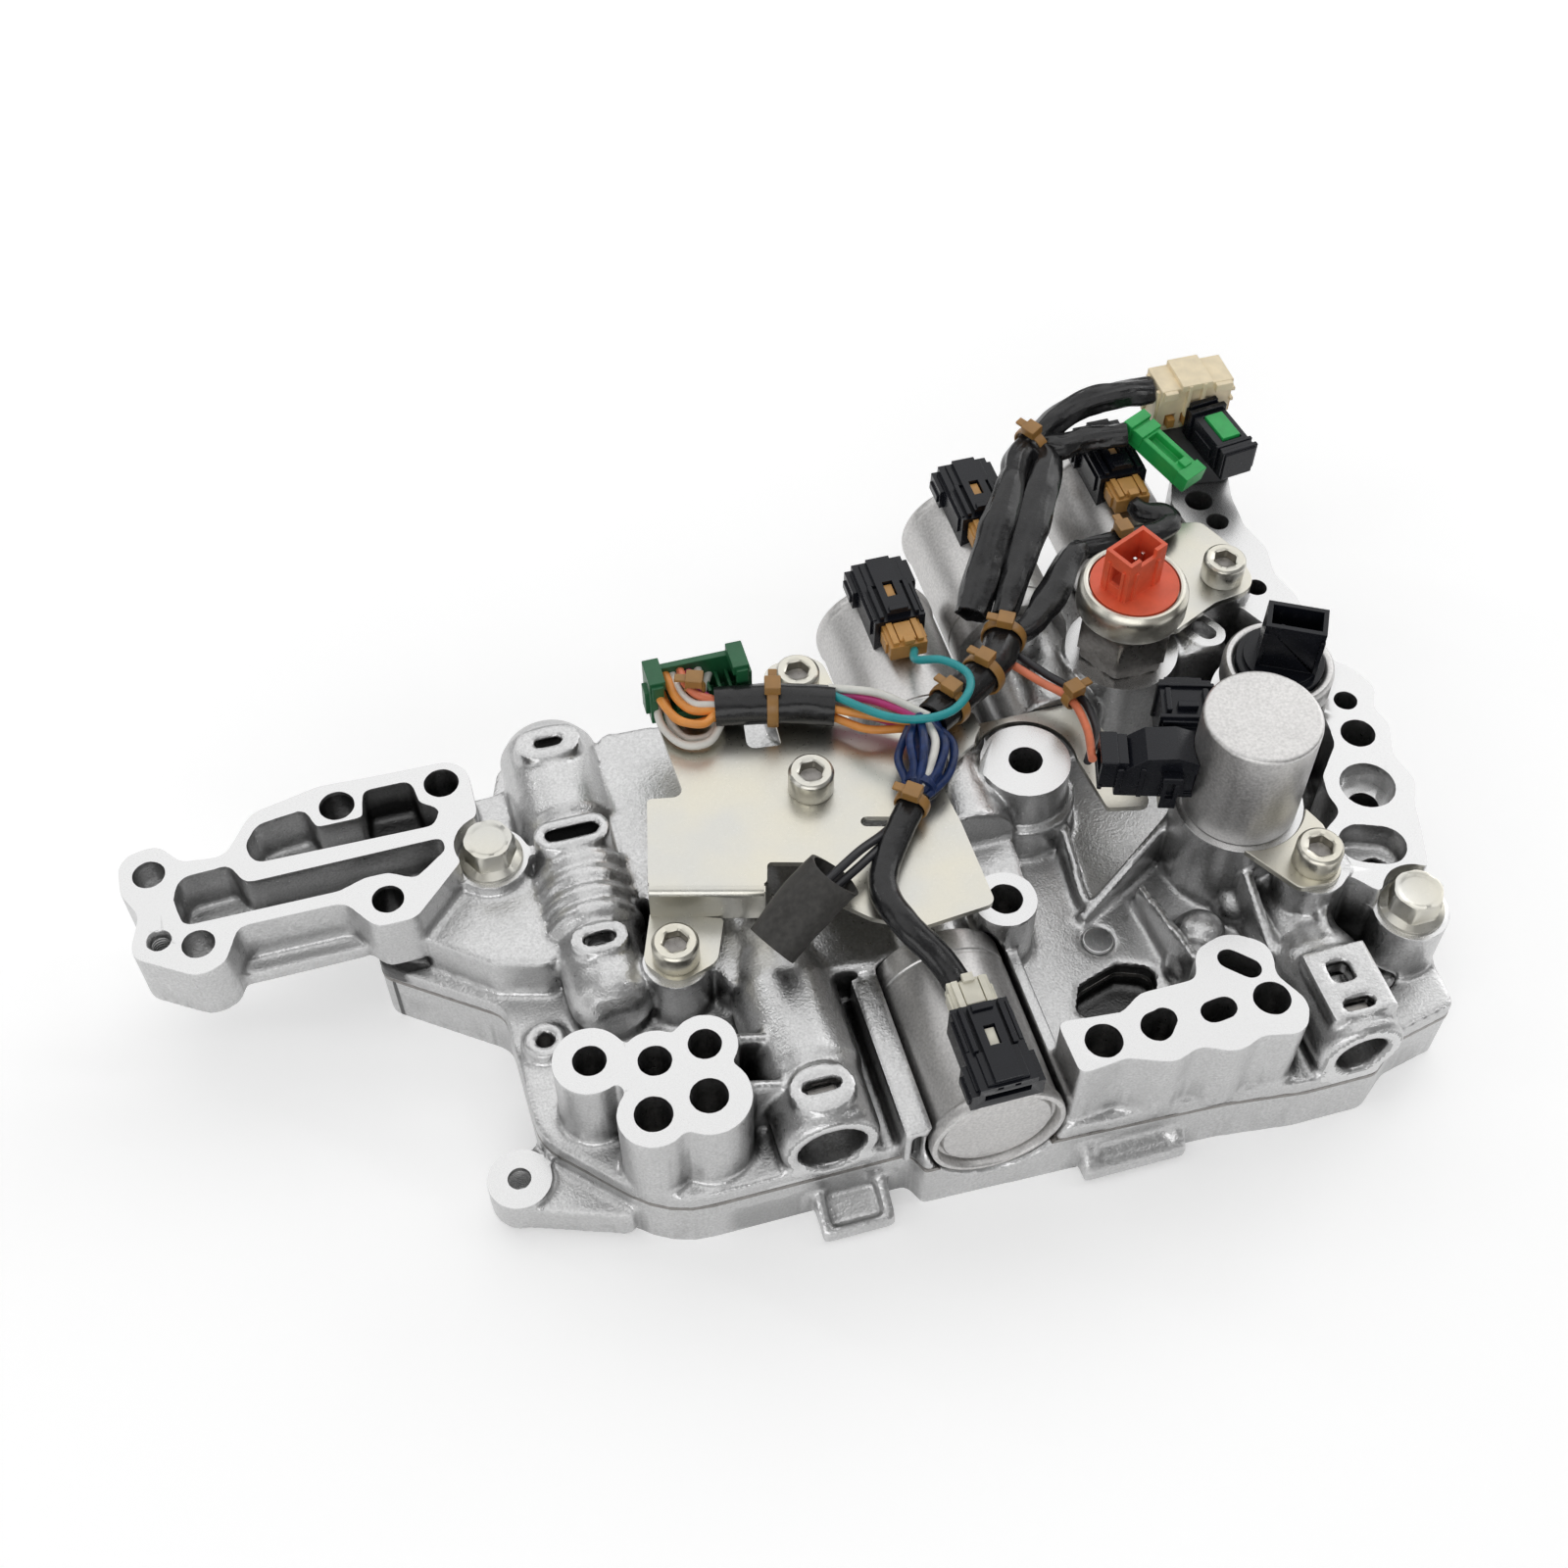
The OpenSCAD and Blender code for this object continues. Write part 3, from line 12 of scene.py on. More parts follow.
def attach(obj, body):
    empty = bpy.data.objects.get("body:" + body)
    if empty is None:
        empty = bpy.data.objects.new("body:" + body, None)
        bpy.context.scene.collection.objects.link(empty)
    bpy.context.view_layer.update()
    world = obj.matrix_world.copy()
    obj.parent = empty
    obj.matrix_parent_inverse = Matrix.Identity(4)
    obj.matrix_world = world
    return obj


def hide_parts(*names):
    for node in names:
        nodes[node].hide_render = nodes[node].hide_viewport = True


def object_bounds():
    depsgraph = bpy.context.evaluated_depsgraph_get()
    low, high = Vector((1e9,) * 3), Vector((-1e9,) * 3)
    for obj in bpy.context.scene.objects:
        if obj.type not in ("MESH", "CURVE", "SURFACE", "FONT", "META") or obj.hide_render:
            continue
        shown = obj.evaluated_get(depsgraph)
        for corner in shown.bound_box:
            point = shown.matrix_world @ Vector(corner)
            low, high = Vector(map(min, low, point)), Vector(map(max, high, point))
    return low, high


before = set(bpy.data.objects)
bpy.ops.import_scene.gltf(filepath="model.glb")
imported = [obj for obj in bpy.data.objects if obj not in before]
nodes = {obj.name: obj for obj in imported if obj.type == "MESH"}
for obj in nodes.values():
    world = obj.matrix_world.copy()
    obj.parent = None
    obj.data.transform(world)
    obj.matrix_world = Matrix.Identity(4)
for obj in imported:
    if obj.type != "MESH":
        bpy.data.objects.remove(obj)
cad_low, cad_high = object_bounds()
scene = bpy.context.scene

MM = 0.001
HOUSING = "housing"
SHARP = math.radians(35)
FLAT = math.radians(0.5)
BEVEL_ANGLE = math.radians(38)
BEVEL_SEGMENTS = 2
WELD = 0.002 * MM
MACHINED = "machined"
SKY = "sky"


# Camera, floor and light

CAMERA_ELEVATION = math.radians(52.4)
CAMERA_AZIMUTH = math.radians(-15.8)
CAMERA_DISTANCE = 0.425
CAMERA_TARGET = Vector((0, 0, 0.045))
CAMERA_LENS = 45
CAMERA_SENSOR = 36
CAMERA_NEAR = 0.01
FLOOR_SIZE = 6.0
# Glow of the floor where it shows as the background: strengths at two distances in metres
GLOW_DISTANCES = (0.35, 1.9)
GLOW_STRENGTHS = (0.3, 0.95)
# Strength of the world as a light, and as metal mirrors it
ROOM = 0.12
MIRRORED_ROOM = 0.3
# Softboxes: name, place and size in metres, radiance
SOFTBOXES = [
    ("key_behind", (0.25, 0.85, 1.0), (2.2, 1.2), 1.0),
    ("overhead", (-0.1, -0.15, 1.35), (1.1, 1.1), 0.9),
    ("front", (-0.55, -1.1, 0.6), (1.5, 0.7), 1.75),
    ("right", (1.2, 0.45, 0.5), (0.8, 0.9), 1.5),
    ("left", (-1.1, -0.1, 0.6), (0.4, 0.9), 1.1),
    ("strip_left", (-0.85, 0.75, 0.75), (0.09, 0.6), 5),
    ("strip_right", (0.85, -0.25, 1.1), (0.09, 0.6), 5),
]


def add_camera():
    across = math.cos(CAMERA_ELEVATION)
    back = Vector((
        math.sin(CAMERA_AZIMUTH) * across,
        -math.cos(CAMERA_AZIMUTH) * across,
        math.sin(CAMERA_ELEVATION),
    ))
    camera = bpy.data.objects.new("camera", bpy.data.cameras.new("camera"))
    camera.data.lens = CAMERA_LENS
    camera.data.sensor_width = CAMERA_SENSOR
    camera.data.clip_start = CAMERA_NEAR
    camera.location = CAMERA_TARGET + back * CAMERA_DISTANCE
    camera.rotation_euler = back.to_track_quat("Z", "Y").to_euler()
    scene.collection.objects.link(camera)
    scene.camera = camera


def add_softbox(name, place, size, radiance):
    """Area light that faces the part; its power gives the radiance that metal reflects."""
    lamp = bpy.data.lights.new(name, "AREA")
    lamp.shape = "RECTANGLE"
    lamp.size, lamp.size_y = size
    lamp.energy = radiance * math.pi * size[0] * size[1]
    obj = bpy.data.objects.new(name, lamp)
    obj.location = place
    obj.rotation_euler = Vector(place).to_track_quat("Z", "Y").to_euler()
    scene.collection.objects.link(obj)


def add_world():
    """White backdrop for the camera, with a dim room that metal mirrors a little brighter."""
    world = bpy.data.worlds.new("studio")
    world.use_nodes = True
    tree = world.node_tree
    background = tree.nodes["Background"]
    background.inputs["Color"].default_value = (1, 1, 1, 1)
    path = tree.nodes.new("ShaderNodeLightPath")
    mirror = tree.nodes.new("ShaderNodeMath")
    mirror.operation = "MAXIMUM"
    tree.links.new(path.outputs["Is Glossy Ray"], mirror.inputs[0])
    tree.links.new(path.outputs["Is Transmission Ray"], mirror.inputs[1])
    level = tree.nodes.new("ShaderNodeMapRange")
    level.inputs["To Min"].default_value = ROOM
    level.inputs["To Max"].default_value = MIRRORED_ROOM
    tree.links.new(mirror.outputs[0], level.inputs["Value"])
    backdrop = tree.nodes.new("ShaderNodeMath")
    backdrop.operation = "MAXIMUM"
    tree.links.new(level.outputs[0], backdrop.inputs[0])
    tree.links.new(path.outputs["Is Camera Ray"], backdrop.inputs[1])
    tree.links.new(backdrop.outputs[0], background.inputs["Strength"])
    scene.world = world


def add_floor():
    """White floor that keeps the shadow and glows, away from the part, where it shows as the background."""
    half = FLOOR_SIZE / 2
    mesh = bpy.data.meshes.new("floor")
    corners = [(-half, -half, 0), (half, -half, 0), (half, half, 0), (-half, half, 0)]
    mesh.from_pydata(corners, [], [(0, 1, 2, 3)])
    floor = bpy.data.objects.new("floor", mesh)
    scene.collection.objects.link(floor)
    finish = Finish("floor_white", roughness=0.9)
    path = finish.add("ShaderNodeLightPath")
    seen = finish.maths("MAXIMUM", path.outputs["Is Camera Ray"], path.outputs["Is Glossy Ray"])
    seen = finish.maths("MAXIMUM", seen, path.outputs["Is Transmission Ray"])
    finish.set("Base Color", (0.93, 0.93, 0.93, 1))
    finish.set("Emission Color", (1, 1, 1, 1))
    away = finish.add("ShaderNodeVectorMath", operation="LENGTH")
    finish.tree.links.new(finish.coords, away.inputs[0])
    glow = finish.ramp(away.outputs["Value"], *GLOW_DISTANCES, *GLOW_STRENGTHS)
    finish.link(finish.maths("MULTIPLY", seen, glow), "Emission Strength")
    mesh.materials.append(finish.material)


# Finishes

class Finish:
    """A Principled material with short calls for the nodes that the finishes share."""

    def __init__(self, name, metallic=0.0, roughness=0.5):
        self.material = bpy.data.materials.new(name)
        self.material.use_nodes = True
        self.tree = self.material.node_tree
        self.shader = self.tree.nodes["Principled BSDF"]
        self.coords = self.add("ShaderNodeTexCoord").outputs["Object"]
        self.set("Metallic", metallic)
        self.set("Roughness", roughness)

    def add(self, kind, **settings):
        node = self.tree.nodes.new(kind)
        for key, value in settings.items():
            setattr(node, key, value)
        return node

    def set(self, socket, value):
        self.shader.inputs[socket].default_value = value

    def link(self, output, socket):
        self.tree.links.new(output, self.shader.inputs[socket])

    def feed(self, socket, value):
        if isinstance(value, bpy.types.NodeSocket):
            self.tree.links.new(value, socket)
        else:
            socket.default_value = value

    def maths(self, operation, a, b=0.0, c=0.0):
        node = self.add("ShaderNodeMath", operation=operation)
        for socket, value in zip(node.inputs, (a, b, c)):
            self.feed(socket, value)
        return node.outputs[0]

    def noise(self, size, detail=3.0, stretch=(1, 1, 1)):
        """Noise with features of about the given size in metres."""
        mapping = self.add("ShaderNodeMapping")
        mapping.inputs["Scale"].default_value = stretch
        self.tree.links.new(self.coords, mapping.inputs["Vector"])
        node = self.add("ShaderNodeTexNoise")
        node.inputs["Scale"].default_value = 1 / size
        node.inputs["Detail"].default_value = detail
        self.tree.links.new(mapping.outputs[0], node.inputs["Vector"])
        return node.outputs[0]

    def ramp(self, value, low, high, start=0.0, end=1.0):
        node = self.add("ShaderNodeMapRange")
        for socket, number in zip(node.inputs, (value, low, high, start, end)):
            self.feed(socket, number)
        return node.outputs[0]

    def mix(self, factor, a, b):
        node = self.add("ShaderNodeMix", data_type="RGBA")
        self.feed(node.inputs["Factor"], factor)
        for name, value in (("A", a), ("B", b)):
            socket = [s for s in node.inputs if s.name == name and s.type == "RGBA"][0]
            self.feed(socket, value)
        return [s for s in node.outputs if s.type == "RGBA"][0]

    def bump(self, height, distance):
        node = self.add("ShaderNodeBump")
        node.inputs["Strength"].default_value = 1.0
        node.inputs["Distance"].default_value = distance
        self.tree.links.new(height, node.inputs["Height"])
        self.link(node.outputs[0], "Normal")


def grey(value, warm=0.0):
    return (value * (1 + warm), value, value * (1 - warm), 1)


def cast_aluminium():
    """Grainy die casting, bright where its faces were milled, lighter along its edges as wear and painted
    highlight, and darker in creases and pockets as painted shade.
    """
    f = Finish("cast_aluminium", metallic=1.0)
    geometry = f.add("ShaderNodeNewGeometry")
    facing = f.add("ShaderNodeSeparateXYZ")
    f.tree.links.new(geometry.outputs["True Normal"], facing.inputs[0])
    level = f.maths("GREATER_THAN", f.maths("ABSOLUTE", facing.outputs["Z"]), 0.97)
    front = f.maths("LESS_THAN", facing.outputs["Y"], -0.93)
    mask = f.add("ShaderNodeAttribute", attribute_name=MACHINED).outputs["Fac"]
    machined = f.maths("MULTIPLY", f.maths("GREATER_THAN", mask, 0.5), f.maths("MAXIMUM", level, front))
    grain = f.noise(0.55 * MM, 3)
    mottle = f.noise(6 * MM, 3)
    cast = f.mix(f.ramp(grain, 0.32, 0.68), grey(0.49), grey(0.65))
    cast = f.mix(f.ramp(mottle, 0.35, 0.7, 0, 0.4), cast, grey(0.49))
    # lighter along convex edges: partly wear, partly painted highlight on rounded edges
    edge = f.ramp(geometry.outputs["Pointiness"], 0.52, 0.60, 0, 0.6)
    cast = f.mix(edge, cast, grey(0.86))
    # painted shade: darker in concave creases, where shade falls
    hollow = f.ramp(geometry.outputs["Pointiness"], 0.485, 0.42, 0, 0.4)
    cast = f.mix(hollow, cast, grey(0.26))
    # painted shade: darker where the sky attribute shows little open sky, in pockets, slots and bores
    sky = f.add("ShaderNodeAttribute", attribute_name=SKY).outputs["Fac"]
    cast = f.mix(f.ramp(sky, 0.47, 0.12, 0, 0.92), cast, grey(0.06))
    scratches = f.noise(0.5 * MM, 3, (1, 14, 1))
    milled = f.mix(f.ramp(scratches, 0.3, 0.7), grey(0.62), grey(0.72))
    f.link(f.mix(machined, cast, milled), "Base Color")
    rough = f.ramp(f.noise(1.2 * MM, 3), 0.3, 0.7, 0.27, 0.37)
    f.link(f.mix(machined, rough, f.ramp(scratches, 0.3, 0.7, 0.24, 0.34)), "Roughness")
    skin = f.maths("ADD", grain, f.maths("MULTIPLY", f.noise(2.2 * MM, 3), 1.2))
    flat = f.maths("SUBTRACT", 1.0, f.maths("MULTIPLY", machined, 0.95))
    f.bump(f.maths("MULTIPLY", skin, flat), 0.07 * MM)
    return f.material


def bare_metal(name, low, high, roughness, warm=0.0, stretch=(1, 1, 1), size=1.2):
    """Steel or turned metal with fine marks along one direction."""
    f = Finish(name, metallic=1.0)
    marks = f.noise(size * MM, 4, stretch)
    stain = f.noise(11 * MM, 3)
    shade = f.mix(f.ramp(marks, 0.3, 0.7), grey(low, warm), grey(high, warm))
    shade = f.mix(f.ramp(stain, 0.45, 0.75, 0, 0.2), shade, grey(low * 0.9, warm))
    f.link(shade, "Base Color")
    f.link(f.ramp(marks, 0.3, 0.7, roughness * 0.88, roughness * 1.15), "Roughness")
    f.bump(marks, 0.015 * MM)
    return f.material


def zinc_plate():
    """Zinc plating with a faint yellow drift and a fine satin grain."""
    f = Finish("zinc_steel", metallic=1.0)
    drift = f.noise(16 * MM, 2)
    fine = f.noise(0.5 * MM, 3)
    shade = f.mix(f.ramp(drift, 0.35, 0.65), (0.63, 0.605, 0.52, 1), (0.58, 0.575, 0.54, 1))
    shade = f.mix(f.ramp(fine, 0.4, 0.8, 0, 0.14), shade, (0.52, 0.51, 0.46, 1))
    f.link(shade, "Base Color")
    f.link(f.ramp(fine, 0.3, 0.7, 0.27, 0.34), "Roughness")
    f.bump(f.noise(2.2 * MM, 2), 0.01 * MM)
    return f.material


def plastic(name, colour, roughness=0.42, grain=0.5, specular=0.5):
    """Moulded plastic with a fine grain and a slight change of shade."""
    f = Finish(name)
    f.set("Specular IOR Level", specular)
    dark = tuple(c * 0.88 for c in colour) + (1,)
    light = tuple(min(1.0, c * 1.06) for c in colour) + (1,)
    f.link(f.mix(f.ramp(f.noise(3.5 * MM, 3), 0.3, 0.7), dark, light), "Base Color")
    f.link(f.ramp(f.noise(0.7 * MM, 3), 0.3, 0.7, roughness * 0.85, roughness * 1.2), "Roughness")
    f.bump(f.noise(grain * MM, 3), 0.02 * MM)
    return f.material


def rubber(name, colour, roughness=0.5, creases=0.12):
    """Harness sleeve with fine creases and scuffs."""
    f = Finish(name)
    f.set("Specular IOR Level", 0.4)
    dark = tuple(c * 0.75 for c in colour) + (1,)
    light = tuple(min(1.0, c * 1.5) for c in colour) + (1,)
    scuffs = f.noise(1.4 * MM, 5)
    f.link(f.mix(f.ramp(scuffs, 0.35, 0.75), dark, light), "Base Color")
    f.link(f.ramp(scuffs, 0.3, 0.7, roughness * 0.85, roughness * 1.15), "Roughness")
    fine = f.maths("MULTIPLY", f.noise(0.6 * MM, 3), 0.25)
    wide = f.maths("MULTIPLY", f.noise(3 * MM, 2), 3)
    f.bump(f.maths("ADD", fine, wide), creases * MM)
    return f.material


FINISHES = {
    "cast_aluminium": cast_aluminium(),
    "plate_steel": bare_metal("plate_steel", 0.20, 0.30, 0.3, 0.05),
    "bright_steel": bare_metal("bright_steel", 0.62, 0.74, 0.2, stretch=(6, 1, 6)),
    "spring_steel": bare_metal("spring_steel", 0.38, 0.5, 0.3),
    "turned_aluminium": bare_metal("turned_aluminium", 0.6, 0.72, 0.28, stretch=(1, 9, 1)),
    "can_steel": bare_metal("can_steel", 0.50, 0.70, 0.40, 0.015, (1, 1, 1), 0.6),
    "zinc_steel": zinc_plate(),
    "black_plastic": plastic("black_plastic", (0.008, 0.009, 0.013), 0.24, 0.5, 0.3),
    "seal_rubber": rubber("seal_rubber", (0.02, 0.02, 0.02), creases=0.02),
    "orange_plastic": plastic("orange_plastic", (0.80, 0.125, 0.054), 0.4),
    "dark_green_plastic": plastic("dark_green_plastic", (0.016, 0.125, 0.048), 0.38),
    "green_plastic": plastic("green_plastic", (0.022, 0.42, 0.095), 0.36),
    "cream_plastic": plastic("cream_plastic", (0.93, 0.80, 0.56), 0.42),
    "ivory_plastic": plastic("ivory_plastic", (0.80, 0.77, 0.65), 0.4),
    "tan_plastic": plastic("tan_plastic", (0.56, 0.29, 0.075), 0.34),
    "tie_plastic": plastic("tie_plastic", (0.36, 0.185, 0.05), 0.34),
    "grey_plastic": plastic("grey_plastic", (0.05, 0.052, 0.056), 0.48),
    "sleeve_rubber": rubber("sleeve_rubber", (0.013, 0.013, 0.014), 0.24, 0.045),
    "open_sleeve_rubber": rubber("open_sleeve_rubber", (0.042, 0.040, 0.037), 0.46, 0.04),
    "navy_tape": rubber("navy_tape", (0.012, 0.03, 0.11), 0.34, 0.04),
    "orange_wire": plastic("orange_wire", (0.86, 0.34, 0.07), 0.35),
    "white_wire": plastic("white_wire", (0.80, 0.79, 0.74), 0.35),
    "pink_wire": plastic("pink_wire", (0.70, 0.06, 0.28), 0.35),
    "teal_wire": plastic("teal_wire", (0.02, 0.34, 0.36), 0.35),
    "salmon_wire": plastic("salmon_wire", (0.80, 0.22, 0.11), 0.35),
    "black_wire": plastic("black_wire", (0.02, 0.02, 0.024), 0.35),
}


# Mesh helpers

def shade_by_angle(mesh):
    bm = bmesh.new()
    bm.from_mesh(mesh)
    for face in bm.faces:
        face.smooth = True
    for edge in bm.edges:
        edge.smooth = edge.calc_face_angle(math.pi) < SHARP
    bm.to_mesh(mesh)
    bm.free()


def dissolve_flat(obj):
    """Joins the triangles of flat faces, so that a bevel finds true edges alone."""
    flat = obj.modifiers.new("flat", "DECIMATE")
    flat.decimate_type = "DISSOLVE"
    flat.angle_limit = FLAT


def add_bevel(obj, width):
    bevel = obj.modifiers.new("bevel", "BEVEL")
    bevel.width = width
    bevel.segments = BEVEL_SEGMENTS
    bevel.limit_method = "ANGLE"
    bevel.angle_limit = BEVEL_ANGLE
    bevel.use_clamp_overlap = True
    bevel.harden_normals = True


def piece(name, bm, slot, replaces=(), body=HOUSING, bevel=0.0):
    """New object from a bmesh, with its finish and body."""
    bmesh.ops.recalc_face_normals(bm, faces=bm.faces)
    mesh = bpy.data.meshes.new(name)
    bm.to_mesh(mesh)
    bm.free()
    mesh.materials.append(FINISHES[slot])
    shade_by_angle(mesh)
    obj = bpy.data.objects.new(name, mesh)
    scene.collection.objects.link(obj)
    if bevel:
        add_bevel(obj, bevel)
    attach(obj, body)
    if replaces:
        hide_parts(*replaces)
    return obj


def dress(node, slot, bevel=0.0):
    """Finish for a CAD node that is shown as it is, with its edges broken by a modifier."""
    obj = nodes[node]
    obj.data.materials.clear()
    obj.data.materials.append(FINISHES[slot])
    if bevel:
        weld = obj.modifiers.new("weld", "WELD")
        weld.merge_threshold = WELD
        dissolve_flat(obj)
        add_bevel(obj, bevel)


def add_box(bm, low, high, place=Matrix.Identity(4)):
    """Box between two corners in millimetres of a local frame."""
    low, high = Vector(low) * MM, Vector(high) * MM
    middle = Matrix.Translation((low + high) / 2)
    size = Matrix.Diagonal((*(high - low), 1))
    bmesh.ops.create_cube(bm, size=1, matrix=place @ middle @ size)


def add_turned(bm, rows, place, segments=64, closed=False):
    """Turned solid from rows of (radius, height, width across flats) in millimetres.

    Closed joins the last row to the first, as in a ring.
    """
    rings = []
    for row in rows:
        radius, height = row[0], row[1]
        flats = row[2] if len(row) > 2 else None
        ring = []
        for k in range(segments):
            angle = 2 * math.pi * k / segments
            r = radius
            if flats:
                off = (angle % (math.pi / 3)) - math.pi / 6
                r = min(radius, flats / 2 / math.cos(off))
            spot = Vector((r * math.cos(angle), r * math.sin(angle), height)) * MM
            ring.append(bm.verts.new(place @ spot))
        rings.append(ring)
    for a, b in zip(rings, rings[1:] + rings[:closed]):
        for k in range(segments):
            m = (k + 1) % segments
            bm.faces.new((a[k], a[m], b[m], b[k]))
    if not closed:
        bm.faces.new(rings[0][::-1])
        bm.faces.new(rings[-1])


def boxes(name, slot, place, pairs, bevel=0.2):
    """Piece made of boxes between pairs of corners in a local frame, with broken edges."""
    bm = bmesh.new()
    for low, high in pairs:
        add_box(bm, low, high, place)
    return piece(name, bm, slot, bevel=bevel * MM)


def carved(name, node, slot, place, cuts, bevel=0.25):
    """Copy of a CAD node with openings cut into it, shown in the node's place."""
    bm = bmesh.new()
    for low, high in cuts:
        add_box(bm, low, high, place)
    tool_mesh = bpy.data.meshes.new("cut")
    bm.to_mesh(tool_mesh)
    bm.free()
    tool = bpy.data.objects.new("cut", tool_mesh)
    scene.collection.objects.link(tool)
    copy = welded_copy(node)
    obj = piece(name, copy, slot, [node])
    cut = obj.modifiers.new("cut", "BOOLEAN")
    cut.object = tool
    obj.data = baked_mesh(obj)
    obj.modifiers.clear()
    bpy.data.objects.remove(tool)
    dissolve_flat(obj)
    add_bevel(obj, bevel * MM)


def turn(place, degrees):
    return Matrix.Translation(Vector(place) * MM) @ Matrix.Rotation(math.radians(degrees), 4, "Z")


def smooth_route(points, steps):
    """Curve through a route's points, as the CAD sweeps it, in metres."""
    p = [Vector(q) * MM for q in points]
    last = len(p) - 1
    curve = []
    for i in range(last):
        a, b, c, d = p[max(i - 1, 0)], p[i], p[i + 1], p[min(i + 2, last)]
        for s in range(steps):
            t = s / steps
            curve.append(0.5 * (
                2 * b + (c - a) * t + (2 * a - 5 * b + 4 * c - d) * t**2 + (3 * b - a - 3 * c + d) * t**3
            ))
    return curve + [p[last]]


def lengthened(points, reach):
    """Route that goes on for a few millimetres at both ends, into the pieces that hold it."""
    p = [Vector(q) for q in points]
    first = p[0] + (p[0] - p[1]).normalized() * reach
    end = p[-1] + (p[-1] - p[-2]).normalized() * reach
    return [first, *p, end]


# Where along a tube its slanted end starts
SLANT_FROM = 0.7


def add_sweep(bm, points, radius, sides, steps, shape=None, hollow=0.0, wall=0.7, slant=0.0):
    """Tube along a route in millimetres.

    shape(t, angle, place) scales its radius, hollow recesses its ends and slant cuts the last one askew.
    """
    curve = smooth_route(points, steps)
    last = len(curve) - 1
    tangents = [(curve[min(i + 1, last)] - curve[max(i - 1, 0)]).normalized() for i in range(last + 1)]
    side = tangents[0].cross(Vector((0, 0, 1))).normalized()
    frames = []
    for tangent in tangents:
        side = (side - tangent * side.dot(tangent)).normalized()
        frames.append((side.copy(), tangent.cross(side)))

    def ring(centre, i, r):
        u, v = frames[i]
        verts = []
        for k in range(sides):
            angle = 2 * math.pi * k / sides
            way = u * math.cos(angle) + v * math.sin(angle)
            factor = shape(i / last, angle, curve[i] + way * r * MM) if shape else 1.0
            share = max(0.0, i / last - SLANT_FROM) / (1 - SLANT_FROM)
            cut = tangents[i] * (slant * MM * share * (0.5 - 0.5 * math.sin(angle)))
            verts.append(bm.verts.new(centre + way * (r * MM * factor) - cut))
        return verts

    rings = [ring(curve[i], i, radius) for i in range(last + 1)]
    if hollow:
        for end, i, inward in ((0, 0, tangents[0]), (1, last, -tangents[last])):
            rim = ring(curve[i], i, radius - wall)
            deep = ring(curve[i] + inward * hollow * MM, i, radius - wall)
            rings = rings + [rim, deep] if end else [deep, rim] + rings
    for a, b in zip(rings, rings[1:]):
        for k in range(sides):
            m = (k + 1) % sides
            bm.faces.new((a[k], a[m], b[m], b[k]))
    bm.faces.new(rings[0][::-1])
    bm.faces.new(rings[-1])


# Creases of a soft sleeve: how often they change along it, with its place and around it; share of unevenness
CREASE_ALONG = 3.2
CREASE_PER_METRE = 20
CREASE_AROUND = 2.2
UNEVEN = 0.6
# Fine unevenness of a wound or doubled sleeve, in waves per metre
FINE_WAVES = 400


def wrinkled(depth, size, widths, thin):
    """Shape of a soft sleeve: an oval with the given widths at even steps along it, and creases along it."""
    def shape(t, angle, place):
        width = np.interp(t, np.linspace(0, 1, len(widths)), widths)
        oval = 1 / math.hypot(math.cos(angle) / width, math.sin(angle) / thin)
        along = t * CREASE_ALONG + place.x * CREASE_PER_METRE
        around = CREASE_AROUND * math.cos(angle), CREASE_AROUND * math.sin(angle)
        crease = noise.noise(Vector((along, *around)))
        uneven = noise.noise(place * (1 / (size * MM)))
        return oval * (1 + depth * (crease + UNEVEN * uneven))
    return shape


def twin(depth):
    """Shape of two cords side by side in one sleeve."""
    def shape(t, angle, place):
        return 1.12 - depth * math.sin(angle) ** 2 + 0.03 * noise.noise(place * FINE_WAVES)
    return shape


def taped(turns, depth):
    """Shape of a bundle wound with tape: an overlapping band at each turn."""
    def shape(t, angle, place):
        band = (t * turns + angle / (2 * math.pi)) % 1.0
        return 1 - depth * band + 0.02 * noise.noise(place * FINE_WAVES)
    return shape


# Castings

# Valve axes: x and z
LEFT_AXIS = (-46.5, 26.5)
CENTRE_AXIS = (-11.5, 25)
RIGHT_AXIS = (101, 24)
# Spool bores: axis, radius, first and last y
SPOOL_BORES = [(*LEFT_AXIS, 5.5, -26, 26), (*CENTRE_AXIS, 6, -57, -10), (*RIGHT_AXIS, 4.5, -67, -20)]
# Valve bores with an open machined front: axis, y of the face, radius of the face
BORE_FRONTS = [(*CENTRE_AXIS, -77, 10.8), (*RIGHT_AXIS, -86, 10)]
# Heights of the machined faces that look up and down
UPPER_TOPS = [34, 37, 38, 40, 40.4, 41, 43]
UPPER_BOTTOMS = [15.2]
LOWER_TOPS = [12, 14]
LOWER_BOTTOMS = [0]
UPPER_TRIANGLES = 185000
LOWER_TRIANGLES = 60000
VOXEL = 0.7 * MM
SOFTEN_PASSES = 7
# A machined face is raised before its casting is softened, and what lies within reach is brought back to it
MACHINED_RAISE = 1.2 * MM
MACHINED_REACH = 1.6 * MM
# Distances within which a point counts as lying on a machined face or a bore's front
ON_FACE = 0.35 * MM
ON_FRONT = 0.7 * MM
# Softened bore walls within reach are pushed out to a clearance
BORE_REACH = 0.45
BORE_CLEARANCE = 0.25
# Share of the sky: grid step, directions, distances looked at in millimetres
SKY_STEP = 0.7 * MM
SKY_WAYS = 16
SKY_RADII = [0.9, 1.4, 2.1, 3.2, 4.8, 7.2, 11]
# Share of the sky that the walls of the front bores have to this depth, and the least share on an underside
BORE_SKY = 0.32
BORE_DEPTH = 26
UNDERSIDE_SKY = 0.5
UNDERSIDE_TILT = -0.3
